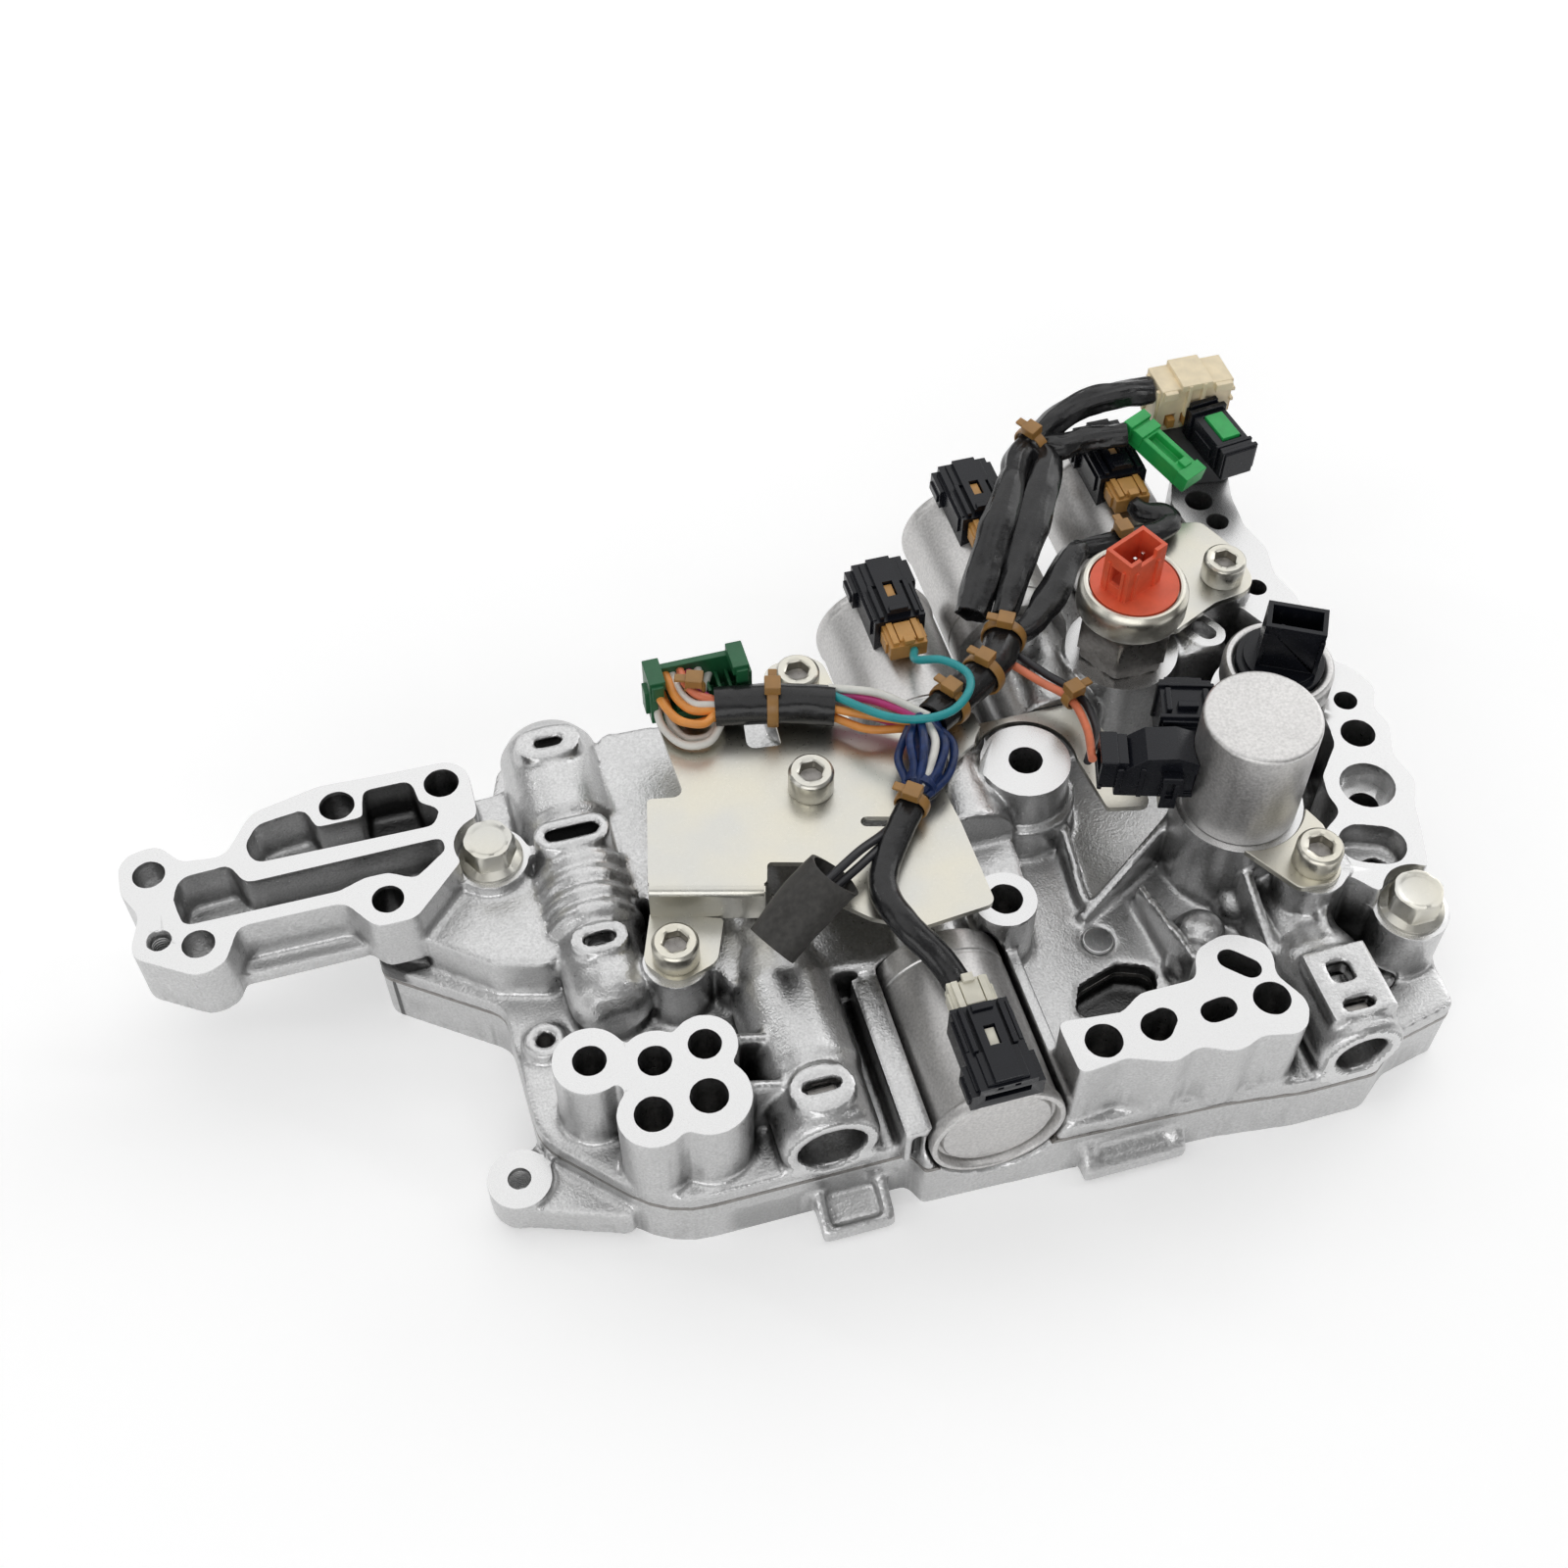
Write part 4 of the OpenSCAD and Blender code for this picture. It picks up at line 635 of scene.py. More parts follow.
# Slots, holes and pockets whose inside gets full painted shade: x, y, half width, half depth, height below
# which it is painted dark
SHADED_INSIDES = [
    (60, -56, 12, 9, 18), (-46.5, 31.1, 3.4, 1.5, 38), (-46.5, 5.5, 6.2, 1.7, 37.6),
    (-46.5, -22.5, 3.7, 1.6, 36.6), (-11.5, -68.3, 4.2, 1.5, 35.9), (101, -78.9, 3.7, 1.5, 33.7),
    (100.5, -71, 2.7, 2.7, 33.7), (-94.5, 24.5, 4.2, 4.2, 39.3), (-87.5, -3, 3.8, 3.8, 39.3),
    (-81.6, 20.6, 7.6, 7.4, 37),
]
# Rings over the left valve ridge: radius of their arc, radius of a ring, places along y, angles in degrees
RING_ARC = 8.7
RING_R = 2.5
RING_PLACES = [-0.6, -5.2, -9.8, -14.4]
RING_ANGLES = range(-35, 216, 5)
# Least upward share of a level face's normal, and how near to its height it lies
LEVEL_FACING = 0.999
LEVEL_REACH = 0.02 * MM


def welded_copy(node):
    bm = bmesh.new()
    bm.from_mesh(nodes[node].data)
    bmesh.ops.remove_doubles(bm, verts=bm.verts, dist=WELD)
    return bm


def flat_faces(bm, levels, up):
    """Level faces of the CAD solid at the given heights that look up or down."""
    found = []
    for face in bm.faces:
        if face.normal.z * up > LEVEL_FACING:
            if any(abs(face.calc_center_median().z - level * MM) < LEVEL_REACH for level in levels):
                found.append(face)
    return found


def face_tree(faces):
    corners = [[v.co.copy() for v in face.verts] for face in faces]
    verts = [co for polygon in corners for co in polygon]
    starts = np.cumsum([0] + [len(polygon) for polygon in corners])
    return BVHTree.FromPolygons(verts, [list(range(a, b)) for a, b in zip(starts, starts[1:])])


def add_ridge_rings(bm):
    """Cast rings over the left valve ridge, which the casting's skin then joins to it."""
    x, z = LEFT_AXIS
    rings = bmesh.new()
    for y in RING_PLACES:
        arc = [(x + RING_ARC * math.cos(a), y, z + RING_ARC * math.sin(a)) for a in np.radians(RING_ANGLES)]
        add_sweep(rings, arc, RING_R, 12, 2)
    bmesh.ops.recalc_face_normals(rings, faces=rings.faces)
    mesh = bpy.data.meshes.new("ridge_rings")
    rings.to_mesh(mesh)
    rings.free()
    bm.from_mesh(mesh)


def casting(name, node, tops, bottoms, triangles, bores=(), rings=False):
    """Die casting from a CAD solid: softened corners, with its machined faces and bores kept true."""
    bm = welded_copy(node)
    trees = []
    for levels, up in ((tops, 1), (bottoms, -1)):
        faces = flat_faces(bm, levels, up)
        trees.append((face_tree(faces), up))
        for vert in {v for face in faces for v in face.verts}:
            vert.co.z += up * MACHINED_RAISE
    if rings:
        add_ridge_rings(bm)
    mesh = bpy.data.meshes.new(name)
    bm.to_mesh(mesh)
    bm.free()
    obj = bpy.data.objects.new(name, mesh)
    scene.collection.objects.link(obj)
    remesh = obj.modifiers.new("remesh", "REMESH")
    remesh.mode = "VOXEL"
    remesh.voxel_size = VOXEL
    soften = obj.modifiers.new("soften", "SMOOTH")
    soften.iterations = SOFTEN_PASSES
    obj.data = baked_mesh(obj)
    obj.modifiers.clear()
    true_faces(obj.data, trees)
    for bore in bores:
        true_bore(obj.data, *bore)
    thin = obj.modifiers.new("thin", "DECIMATE")
    thin.ratio = triangles / (2 * len(obj.data.polygons))
    obj.data = baked_mesh(obj)
    obj.modifiers.clear()
    obj.data.materials.clear()
    obj.data.materials.append(FINISHES["cast_aluminium"])
    shade_by_angle(obj.data)
    mark_machined(obj.data, trees)
    mark_sky(obj.data)
    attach(obj, HOUSING)
    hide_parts(node)


def baked_mesh(obj):
    graph = bpy.context.evaluated_depsgraph_get()
    return bpy.data.meshes.new_from_object(obj.evaluated_get(graph))


def true_faces(mesh, trees):
    """Brings what was raised above a machined face back to it."""
    for vert in mesh.vertices:
        for tree, up in trees:
            hit = tree.find_nearest(vert.co, 2 * MACHINED_REACH)[0]
            if hit and (vert.co.z - hit.z) * up > 0 and (vert.co - hit).xy.length < MACHINED_REACH:
                vert.co.z = hit.z


def mark_machined(mesh, trees):
    """Vertex attribute that is 1 on the machined faces and bore fronts."""
    marks = mesh.attributes.new(MACHINED, "FLOAT", "POINT")
    for vert, mark in zip(mesh.vertices, marks.data):
        near = any(tree.find_nearest(vert.co, ON_FACE)[0] for tree, up in trees)
        for x, z, y, radius in BORE_FRONTS:
            across = math.hypot(vert.co.x - x * MM, vert.co.z - z * MM)
            near = near or (abs(vert.co.y - y * MM) < ON_FRONT and across < radius * MM)
        mark.value = float(near)


def mark_sky(mesh):
    """Vertex attribute with the share of the sky above each point, for painted shade: pockets, slots and
    bores are painted darker where little sky is seen.
    """
    low, high = cad_low, cad_high
    across, deep = [int((high[a] - low[a]) / SKY_STEP) + 1 for a in (0, 1)]
    heights = np.zeros((across, deep))
    tree = BVHTree.FromPolygons([v.co for v in mesh.vertices], [p.vertices for p in mesh.polygons])
    for i in range(across):
        for j in range(deep):
            start = Vector((low[0] + i * SKY_STEP, low[1] + j * SKY_STEP, 1))
            hit = tree.ray_cast(start, Vector((0, 0, -1)))[0]
            heights[i, j] = hit.z if hit else 0
    spots = np.array([v.co for v in mesh.vertices])
    seen = np.zeros(len(spots))
    for angle in np.linspace(0, 2 * math.pi, SKY_WAYS, endpoint=False):
        rise = np.zeros(len(spots))
        for radius in SKY_RADII:
            i = (spots[:, 0] + radius * MM * math.cos(angle) - low[0]) / SKY_STEP
            j = (spots[:, 1] + radius * MM * math.sin(angle) - low[1]) / SKY_STEP
            i = np.clip(i.round().astype(int), 0, across - 1)
            j = np.clip(j.round().astype(int), 0, deep - 1)
            rise = np.maximum(rise, (heights[i, j] - spots[:, 2]) / (radius * MM))
        seen += 1 / (1 + rise**2) / SKY_WAYS
    x, y, z = spots.T / MM
    # painted full shade inside the listed slots, holes and pockets
    for middle_x, middle_y, half_x, half_y, level in SHADED_INSIDES:
        seen[(abs(x - middle_x) < half_x) & (abs(y - middle_y) < half_y) & (z < level)] = 0
    # painted shade of a fixed depth on the walls of the front bores
    for bore_x, bore_z, front, radius in BORE_FRONTS:
        seen[(np.hypot(x - bore_x, z - bore_z) < radius - 1) & (y < front + BORE_DEPTH)] = BORE_SKY
    under = np.array([v.normal.z for v in mesh.vertices]) < UNDERSIDE_TILT
    seen[under] = np.maximum(seen[under], UNDERSIDE_SKY)
    mesh.attributes.new(SKY, "FLOAT", "POINT").data.foreach_set("value", seen)


def true_bore(mesh, x, z, radius, y0, y1):
    """Pushes a valve bore's wall out to its own radius, clear of the spool."""
    for vert in mesh.vertices:
        across = Vector(((vert.co.x - x * MM), 0, (vert.co.z - z * MM)))
        if y0 * MM < vert.co.y < y1 * MM and across.length < (radius + BORE_REACH) * MM:
            across *= (radius + BORE_CLEARANCE) * MM / max(across.length, 1e-6)
            vert.co.x = x * MM + across.x
            vert.co.z = z * MM + across.z


# Harness routes in millimetres

LARGE_SLEEVES = [
    ([(-9.8, 21, 50), (2.6, 18.3, 50.4), (15.6, 14.2, 50)], 4.5),
    ([(60, 26.2, 49.3), (54.4, 17.6, 49.7), (46, 11.4, 50), (35, 4.6, 50.2)], 4.2),
]
# Crumpled flat sleeves: route, radius, widths along it
FLAT_SLEEVES = [
    ([(84.6, 78.4, 53), (92, 82.5, 54.5), (100, 84.5, 57), (110, 84.5, 58), (118, 84, 57)], 3.5,
     (0.9, 1.1, 1, 1.05, 1)),
    ([(84, 77.6, 53.6), (78.6, 72.4, 54.2), (73.6, 63.2, 55.8), (66.6, 52, 55.2), (59.6, 41, 51.8),
      (53.8, 31.8, 49.6)], 3.6, (0.8, 0.9, 0.95, 1.1, 1.25, 1.05)),
    ([(85.6, 77, 52.8), (86, 70.6, 53.2), (80.6, 61.8, 53.6), (74.2, 51.3, 53), (66.8, 39.3, 51),
      (60.4, 28.9, 49.6)], 3.8, (0.8, 1, 1.2, 1.3, 0.95, 0.7)),
    ([(87.6, 76.4, 53.4), (91.2, 74.6, 54.2), (99.2, 74.2, 55.2), (107, 72.2, 56)], 3.3,
     (0.9, 1.3, 0.85, 1.1, 1)),
]
SLIM_SLEEVES = [
    ([(85.4, 44.7, 49.4), (81.8, 42.4, 50.2), (73, 31.9, 49.6), (67, 26.6, 49.2), (61.6, 23.2, 49.2)], 2.9,
     (0.8, 1.1, 1.35, 1.1, 0.75)),
    ([(104.5, 57.4, 46.8), (105.4, 54.6, 47.2), (109.4, 52.4, 47.6), (110.4, 49, 48), (105.5, 46.2, 48.4),
      (96, 45.6, 48.8), (85.4, 44.9, 49.2)], 2.6, (0.9, 1.15, 1, 1.1, 0.9)),
]
FRONT_SLEEVE = [
    (25.5, -13.5, 48.9), (15.2, -26.3, 47.6), (11.8, -34.5, 47.6), (13.6, -43, 47.2), (18.6, -50.5, 43.4),
    (20.8, -56, 41.2),
]
FRONT_SLEEVE_R = 2.8
OPEN_SLEEVE = [(-13.5, -38.4, 43.4), (-4.4, -33.4, 48.8), (4, -29.6, 52.4)]
OPEN_SLEEVE_R = 5.8
OPEN_SLEEVE_WALL = 0.8
OPEN_SLEEVE_SLANT = 4
BUNDLE = [(33, 3.6, 49.8), (31, -5.6, 49.8), (26.4, -12.4, 49.4)]
BUNDLE_R = 3.8
WIRES = {
    "orange_wires": ("orange_wire", [
        [(15.4, 11.3, 49), (21, 6.6, 49), (28.4, 4.7, 49)],
        [(15.6, 11.9, 51.3), (21.6, 8.4, 51.4), (29.2, 4.5, 51.5)],
        [(-10.9, 18.6, 49.4), (-15.5, 18.2, 49.5), (-19.4, 21, 50), (-20.3, 29.6, 50.5)],
        [(-10.7, 19.2, 51.2), (-15.4, 19.8, 52.2), (-18, 23.5, 53.2), (-18.6, 29.4, 53.4)],
        [(-10.7, 21.6, 48.9), (-14.6, 21.8, 49.6), (-16.6, 25, 50.8), (-16.9, 29.4, 50.8)],
        [(-10.6, 18.2, 51), (-14, 15.8, 51.6), (-18.8, 18, 52.2), (-21.4, 24, 53), (-20.9, 29.4, 53)],
    ]),
    "white_wires": ("white_wire", [
        [(17.1, 16.8, 49.4), (25.4, 12.4, 50), (33, 3.7, 50)],
        [(16.5, 14.9, 50.1), (24.6, 11, 50.2), (32, 4, 50.2)],
        [(-10.6, 20.3, 52), (-14.4, 21, 52.6), (-16.6, 24.6, 52.8), (-17, 29.6, 52.8)],
        [(-10.9, 23.4, 49.6), (-11.6, 25.6, 50), (-9.6, 29.4, 50.2)],
        [(-10.8, 22.8, 50.6), (-12.6, 24.2, 51.4), (-11.6, 27, 52.4), (-11.4, 29.4, 52.6)],
        [(-9, 18.4, 47.6), (-13, 14.6, 46.6), (-18.6, 15.6, 46.4), (-22, 21.5, 47.4), (-21.4, 29, 48.6)],
        [(-9, 19.6, 46.8), (-12.6, 16.8, 45.8), (-17.4, 17.6, 45.8), (-19.8, 22.6, 46.6), (-19.2, 29, 47.8)],
        [(32.6, 3, 52.6), (32.4, -4.6, 54.6), (29.4, -10, 53), (25.6, -13.8, 50)],
        [(16.9, 16.3, 53), (25, 11.8, 53.8), (32.2, 4.6, 53.4)],
    ]),
    "pink_wires": ("pink_wire", [
        [(16.7, 15.7, 51.6), (24, 11.4, 52.2), (31.6, 4.2, 52.6)],
        [(16.3, 14.2, 48.4), (24.4, 10, 47.8), (31.4, 4.2, 47.4)],
        [(-10.9, 22.4, 51.8), (-13, 25, 52.4), (-13.4, 29.6, 52.6)],
    ]),
    "teal_wires": ("teal_wire", [
        [(38, 26, 48.6), (36.5, 20.5, 52), (41, 16, 55.4), (44.5, 10, 56.6), (43, 4.6, 57), (37.5, 0.6, 56.6),
         (30, 0.8, 56.2), (23.4, 5, 55), (16.3, 13.8, 53)],
    ]),
    "salmon_wire": ("salmon_wire", [
        [(59.6, 15, 47.5), (63, 10.6, 47), (67.6, 4, 47), (67, -6.5, 49.5), (63.6, -16.7, 53.8)],
        [(-10.6, 21.4, 52.6), (-13.6, 22.6, 53.8), (-15.2, 26, 54.2), (-15.3, 29.4, 53.8)],
    ]),
    "black_wire": ("black_wire", [
        [(61.8, 17.4, 47.3), (65, 12.6, 46.8), (70, 4.5, 46.8), (69.4, -6.9, 48), (64.2, -14.8, 50.6)],
        [(28.4, -8.6, 46.6), (18.6, -18.6, 47.4), (9, -25.6, 51), (1.4, -30.6, 51.6)],
        [(27, -10.8, 46.4), (17.4, -20.6, 46.8), (9.6, -27.4, 49.4), (2.2, -31.8, 49.6)],
        [(33.8, 0.8, 47.4), (34.6, -5.4, 47.6), (30.6, -12.4, 47.8), (26, -14.6, 47.8)],
    ]),
}
# Strands that leave the tape and gather again at the front sleeve
STRANDS = [
    [(31.6, 4.4, 52.6), (27.4, -2.6, 54.4), (26.4, -8.6, 53.2), (24.8, -14, 50.2)],
    [(33.4, 3.2, 52.2), (34.6, -4.6, 53.4), (31, -10.6, 52.2), (25.8, -14.2, 49.6)],
    [(29.8, 4.2, 50.4), (24.6, -3.6, 50.6), (24.2, -9.4, 50.2), (23.6, -14.4, 49.2)],
    [(35, 2.4, 50.4), (37, -4, 50.6), (33.4, -11, 50), (26.4, -14.8, 48.8)],
    [(31.6, 3.6, 53.6), (30, -3.8, 55.4), (28, -9.6, 53.8), (25, -14, 50.6)],
]
WIRE_R = 0.95
# How far a wire's end goes into the piece that holds it
WIRE_HOLD = 2
# Depth of the open ends of thick, slim and open sleeves
THICK_RECESS = 2.4
SLIM_RECESS = 2
OPEN_RECESS = 8
# Ties: centre, radius inside, turn about Z and rise in degrees
TIES = [
    ((2.6, 18.3, 50.4), 4.7, -15, 0), ((58.5, 23.6, 49.4), 4.5, 58, 0), ((40.2, 7.8, 50.1), 4.4, 33, 0),
    ((85.1, 78.2, 53.1), 4.2, 29, 10), ((96, 45.6, 48.8), 2.8, 4.5, 0), ((24, -15.3, 48.7), 3.2, 50.5, 4),
    ((50.2, 14.1, 49.85), 4.5, 40, 0), ((68.2, 4.4, 46.9), 1.9, -74, 0), ((-13.4, 24.6, 53.4), 1.7, 70, 0),
]
# Section of a tie's band, out from its inside and across, and its head and cut tail as boxes
TIE_BAND = [(0, -1.2), (0.6, -1.3), (0.75, 0), (0.6, 1.3), (0, 1.2)]
TIE_BLOCKS = [((-2.6, -1.9, -1.8), (-0.2, 1.9, 1.8)), ((-1.9, 1.6, -1), (-1.1, 4.4, 1))]


def add_harness():
    bm = bmesh.new()
    for route, radius in LARGE_SLEEVES:
        add_sweep(bm, route, radius, 32, 16, wrinkled(0.06, 9, (1, 1.05, 1), 0.95), hollow=THICK_RECESS)
    piece("large_sleeves_cut", bm, "sleeve_rubber", ["large_sleeves"])
    bm = bmesh.new()
    for route, radius, widths in FLAT_SLEEVES:
        add_sweep(bm, route, radius, 40, 18, wrinkled(0.26, 7, widths, 0.8), hollow=THICK_RECESS)
    for route, radius, widths in SLIM_SLEEVES:
        add_sweep(bm, route, radius, 32, 16, wrinkled(0.2, 5, widths, 0.85), hollow=SLIM_RECESS)
    add_sweep(bm, FRONT_SLEEVE, FRONT_SLEEVE_R, 28, 14, twin(0.3), hollow=SLIM_RECESS)
    piece("slim_sleeves_cut", bm, "sleeve_rubber", ["slim_sleeves"])
    bm = bmesh.new()
    add_sweep(
        bm, OPEN_SLEEVE, OPEN_SLEEVE_R, 36, 16, wrinkled(0.05, 9, (1, 1.1, 1.12), 0.84),
        hollow=OPEN_RECESS, wall=OPEN_SLEEVE_WALL, slant=OPEN_SLEEVE_SLANT,
    )
    piece("open_sleeve_cut", bm, "open_sleeve_rubber", ["open_sleeve"])
    bm = bmesh.new()
    add_sweep(bm, BUNDLE, BUNDLE_R, 28, 20, taped(5, 0.07))
    for route in STRANDS:
        add_sweep(bm, route, WIRE_R, 12, 12)
    piece("taped_bundle_wound", bm, "navy_tape", ["taped_bundle"])
    for name, (slot, routes) in WIRES.items():
        bm = bmesh.new()
        for route in routes:
            add_sweep(bm, lengthened(route, WIRE_HOLD), WIRE_R, 12, 10)
        piece(name + "_drawn", bm, slot, [name])


def add_ties():
    bm = bmesh.new()
    for centre, inside, about, rise in TIES:
        place = turn(centre, about) @ Matrix.Rotation(math.radians(90 - rise), 4, "Y")
        add_turned(bm, [(inside + out, across) for out, across in TIE_BAND], place, 40, closed=True)
        for low, high in TIE_BLOCKS:
            add_box(bm, (low[0] - inside, *low[1:]), (high[0] - inside, *high[1:]), place)
    piece("cable_ties_pulled", bm, "tie_plastic", ["cable_ties"], bevel=0.25 * MM)


# Screws, bolts and the bracket's bend

CAP_SCREWS = [(5.5, -2, 44.4), (-32, -30.5, 35.4), (10.5, 26.2, 44.4), (116.5, 32, 44.6), (103.5, -48.5, 42)]
FLANGE_BOLTS = [(-64.5, 6, 34), (122, -60.5, 34)]
CAP_ROWS = [
    (3, -11), (3, 0), (4.8, 0), (5, 0.3), (5, 5.2), (4.85, 5.6), (4.3, 6), (3.1, 6), (2.75, 5.7, 5),
    (2.75, 3.2, 5), (0.6, 2.6),
]
# Dark disc at the floor of a screw's hexagon socket, as painted shade
SOCKET_SHADE_ROWS = [(2.6, 2.6, 4.9), (2.6, 3.5, 4.9), (0.6, 3.1)]
BOLT_ROWS = [
    (3, -11), (3, 0), (6.9, 0), (7, 0.4), (6.9, 0.9), (5.7, 1.8, 10.4), (5.8, 2.4, 10), (5.77, 6.2, 10),
    (5.2, 6.9, 10), (4.6, 7), (3.9, 6.7), (3.4, 6.6),
]
# Bend of the bracket's front flange: radius, start, direction, both ends along it, top and foot
BEND_R = 2
BEND_START = Vector((-34.5, -17.5, 0))
BEND_ALONG = Vector((23.6, -6.6, 0)).normalized()
BEND_ENDS = (0.2, 24.3)
BEND_TOP = 44.42
BEND_FOOT = 35.4
# Inner side of the bend's section, as offset and height
BEND_INSIDE = [(0.6, BEND_FOOT), (0.6, 41), (-0.8, 42.6), (-0.8, BEND_TOP)]


def add_bracket_bend():
    """Rounded bend and outer face of the bracket's front flange."""
    out = Vector((BEND_ALONG.y, -BEND_ALONG.x, 0))
    quarter = np.linspace(0, math.pi / 2, 9)
    section = [(BEND_R * math.sin(a), BEND_TOP - BEND_R + BEND_R * math.cos(a)) for a in quarter]
    section += [(BEND_R, BEND_FOOT), *BEND_INSIDE]
    bm = bmesh.new()
    ends = []
    for way in BEND_ENDS:
        spots = [BEND_START + BEND_ALONG * way + out * across + Vector((0, 0, z)) for across, z in section]
        ends.append([bm.verts.new(spot * MM) for spot in spots])
    count = len(section)
    for k in range(count):
        m = (k + 1) % count
        bm.faces.new((ends[0][k], ends[0][m], ends[1][m], ends[1][k]))
    bm.faces.new(ends[0][::-1])
    bm.faces.new(ends[1])
    piece("harness_bracket_bend", bm, "zinc_steel")


def add_fasteners():
    for name, node, places, rows in (
        ("cap_screws_turned", "cap_screws", CAP_SCREWS, CAP_ROWS),
        ("flange_bolts_forged", "flange_bolts", FLANGE_BOLTS, BOLT_ROWS),
    ):
        bm = bmesh.new()
        for place in places:
            add_turned(bm, rows, Matrix.Translation(Vector(place) * MM), 72)
        piece(name, bm, "zinc_steel", [node])
    # painted shade: a dark steel disc at the floor of each screw's socket
    bm = bmesh.new()
    for place in CAP_SCREWS:
        add_turned(bm, SOCKET_SHADE_ROWS, Matrix.Translation(Vector(place) * MM), 72)
    piece("cap_screw_socket_shade", bm, "plate_steel")


# Sensors and solenoids, as rows of radius and height above the seat

ORANGE_HEXAGON = [
    (6, -12), (6, 0), (9.2, 0), (10.4, 0.5, 18.5), (10.68, 0.9, 18.5), (10.68, 3.4, 18.5),
    (11.5, 3.8, 19.9), (11.5, 11.2, 19.9), (10.9, 12.2, 19.6), (9.8, 12.6), (9.8, 13.4), (1, 13.4),
]
ORANGE_RING = [
    (9, 13.2), (10.8, 13.4), (11.6, 13.8), (12.2, 14.5), (12.5, 15.4), (12.5, 19.2), (12.4, 20.2),
    (12, 21.2), (11.4, 21.9), (10.8, 22), (10.4, 21.8), (10.15, 21.3), (10.15, 20.4), (1, 20.4),
]
BLACK_BODY = [
    (6, -12), (6, 0), (11.2, 0), (11.5, 0.3), (11.5, 5), (12.1, 5.3), (12.5, 6), (12.5, 10.6),
    (12.3, 11.4), (11.8, 11.9), (11.2, 12), (10.6, 11.8), (10.1, 11.3), (9.95, 10.6), (9.95, 9), (1, 9),
]
STANDING_CAN = [
    (11.9, 0), (12.3, 0.2), (12.5, 0.7), (12.5, 28), (12.42, 28.45), (12.2, 28.8), (11.85, 28.97),
    (11.5, 29), (1, 29),
]
CAN_ROWS = [
    (13.2, 0), (13.8, 0.3), (14, 0.9), (14, 5.4), (13.75, 5.7), (13.75, 6.3), (14, 6.6), (14, 38.4),
    (14.3, 38.9), (14.5, 39.6), (14.5, 41.2), (14.3, 41.8), (13.8, 42), (13.3, 41.9), (13, 41.4),
    (12.9, 39.6), (12.1, 39.3), (11.9, 40.3), (11.5, 40.7), (1, 41.1),
]
LYING = {
    "front": (22.3, 23, -40, -1), "rear_left": (37, 30, 10, 1), "rear_middle": (67, 30, 36, 1),
    "rear_right": (104.5, 28, 42, 1),
}
ORANGE_AT = (87.5, 21, 40)
BLACK_AT = (115.5, -0.5, 38)
STANDING_AT = (95, -28.3, 41)


def on_solenoid(solenoid):
    x, z, y, way = LYING[solenoid]
    return turn((x, y, z), 0 if way > 0 else 180)


def turned_piece(name, replaced, slot, rows, place):
    bm = bmesh.new()
    add_turned(bm, rows, place, 96)
    piece(name, bm, slot, replaced)


# Tapped holes of the corner tab and the arm: x, y, radius, first and last height
TAPPED_HOLES = [(-73.5, -59.5, 2.5, 3, 11.6), (-134.8, -0.4, 2.2, 30, 38.8)]
THREAD_PITCH = 0.8
THREAD_DEPTH = 0.3
THREAD_ROOT = 0.2


def add_threads():
    """Thread turns in the tapped holes."""
    bm = bmesh.new()
    for x, y, radius, low, high in TAPPED_HOLES:
        turns = int((high - low) / THREAD_PITCH)
        rows = [(radius - THREAD_DEPTH * (k % 2), low + THREAD_PITCH / 2 * k) for k in range(2 * turns + 1)]
        rows += [(radius + THREAD_ROOT, high), (radius + THREAD_ROOT, low)]
        add_turned(bm, rows, turn((x, y, 0), 0), 48, closed=True)
    piece("tapped_threads", bm, "turned_aluminium")


def add_cans():
    for solenoid in LYING:
        place = on_solenoid(solenoid) @ Matrix.Rotation(-math.pi / 2, 4, "X")
        turned_piece(solenoid + "_can_drawn", [solenoid + "_can"], "can_steel", CAN_ROWS, place)
    turned_piece("standing_can_drawn", ["standing_can"], "can_steel", STANDING_CAN, turn(STANDING_AT, 0))
    turned_piece("orange_sensor_ring", ["orange_sensor_body"], "zinc_steel", ORANGE_RING, turn(ORANGE_AT, 0))
    turned_piece("orange_sensor_hexagon", [], "plate_steel", ORANGE_HEXAGON, turn(ORANGE_AT, 0))
    turned_piece("black_sensor_turned", ["black_sensor_body"], "can_steel", BLACK_BODY, turn(BLACK_AT, 0))


def mirrored(pairs):
    """The boxes and their mirror images across the local YZ plane."""
    return pairs + [((-high[0], *low[1:]), (-low[0], *high[1:])) for low, high in pairs]


# Connectors: places and turns about Z in degrees
ORANGE_SOCKET = turn((86.6, 21.4, 61.4), 24)
BLACK_SOCKET = turn((116.5, -1, 50.6), -29)
STANDING_PLUG = turn((76.5, -22.5, 47.5), -18)
STANDING_BACK = turn((86, -13, 49), -18)
GREEN_COMB = turn((-12.2, 28.4, 44.4), 0)
CREAM_CONNECTOR = turn((119, 80, 47), 0)
LOCK_CONNECTOR = turn((130, 79.4, 47), 7)
GREEN_PLUG = turn((114.2, 66.5, 53.6), -64.7) @ Matrix.Rotation(math.radians(10.8), 4, "Y")


def socket_pins(name, place, spacing, top):
    """Three square contacts in a socket, side by side."""
    boxes(name, "bright_steel", place, [
        ((x - 0.4, -0.4, 1.4), (x + 0.4, 0.4, top)) for x in (-spacing, 0, spacing)
    ], 0.12)


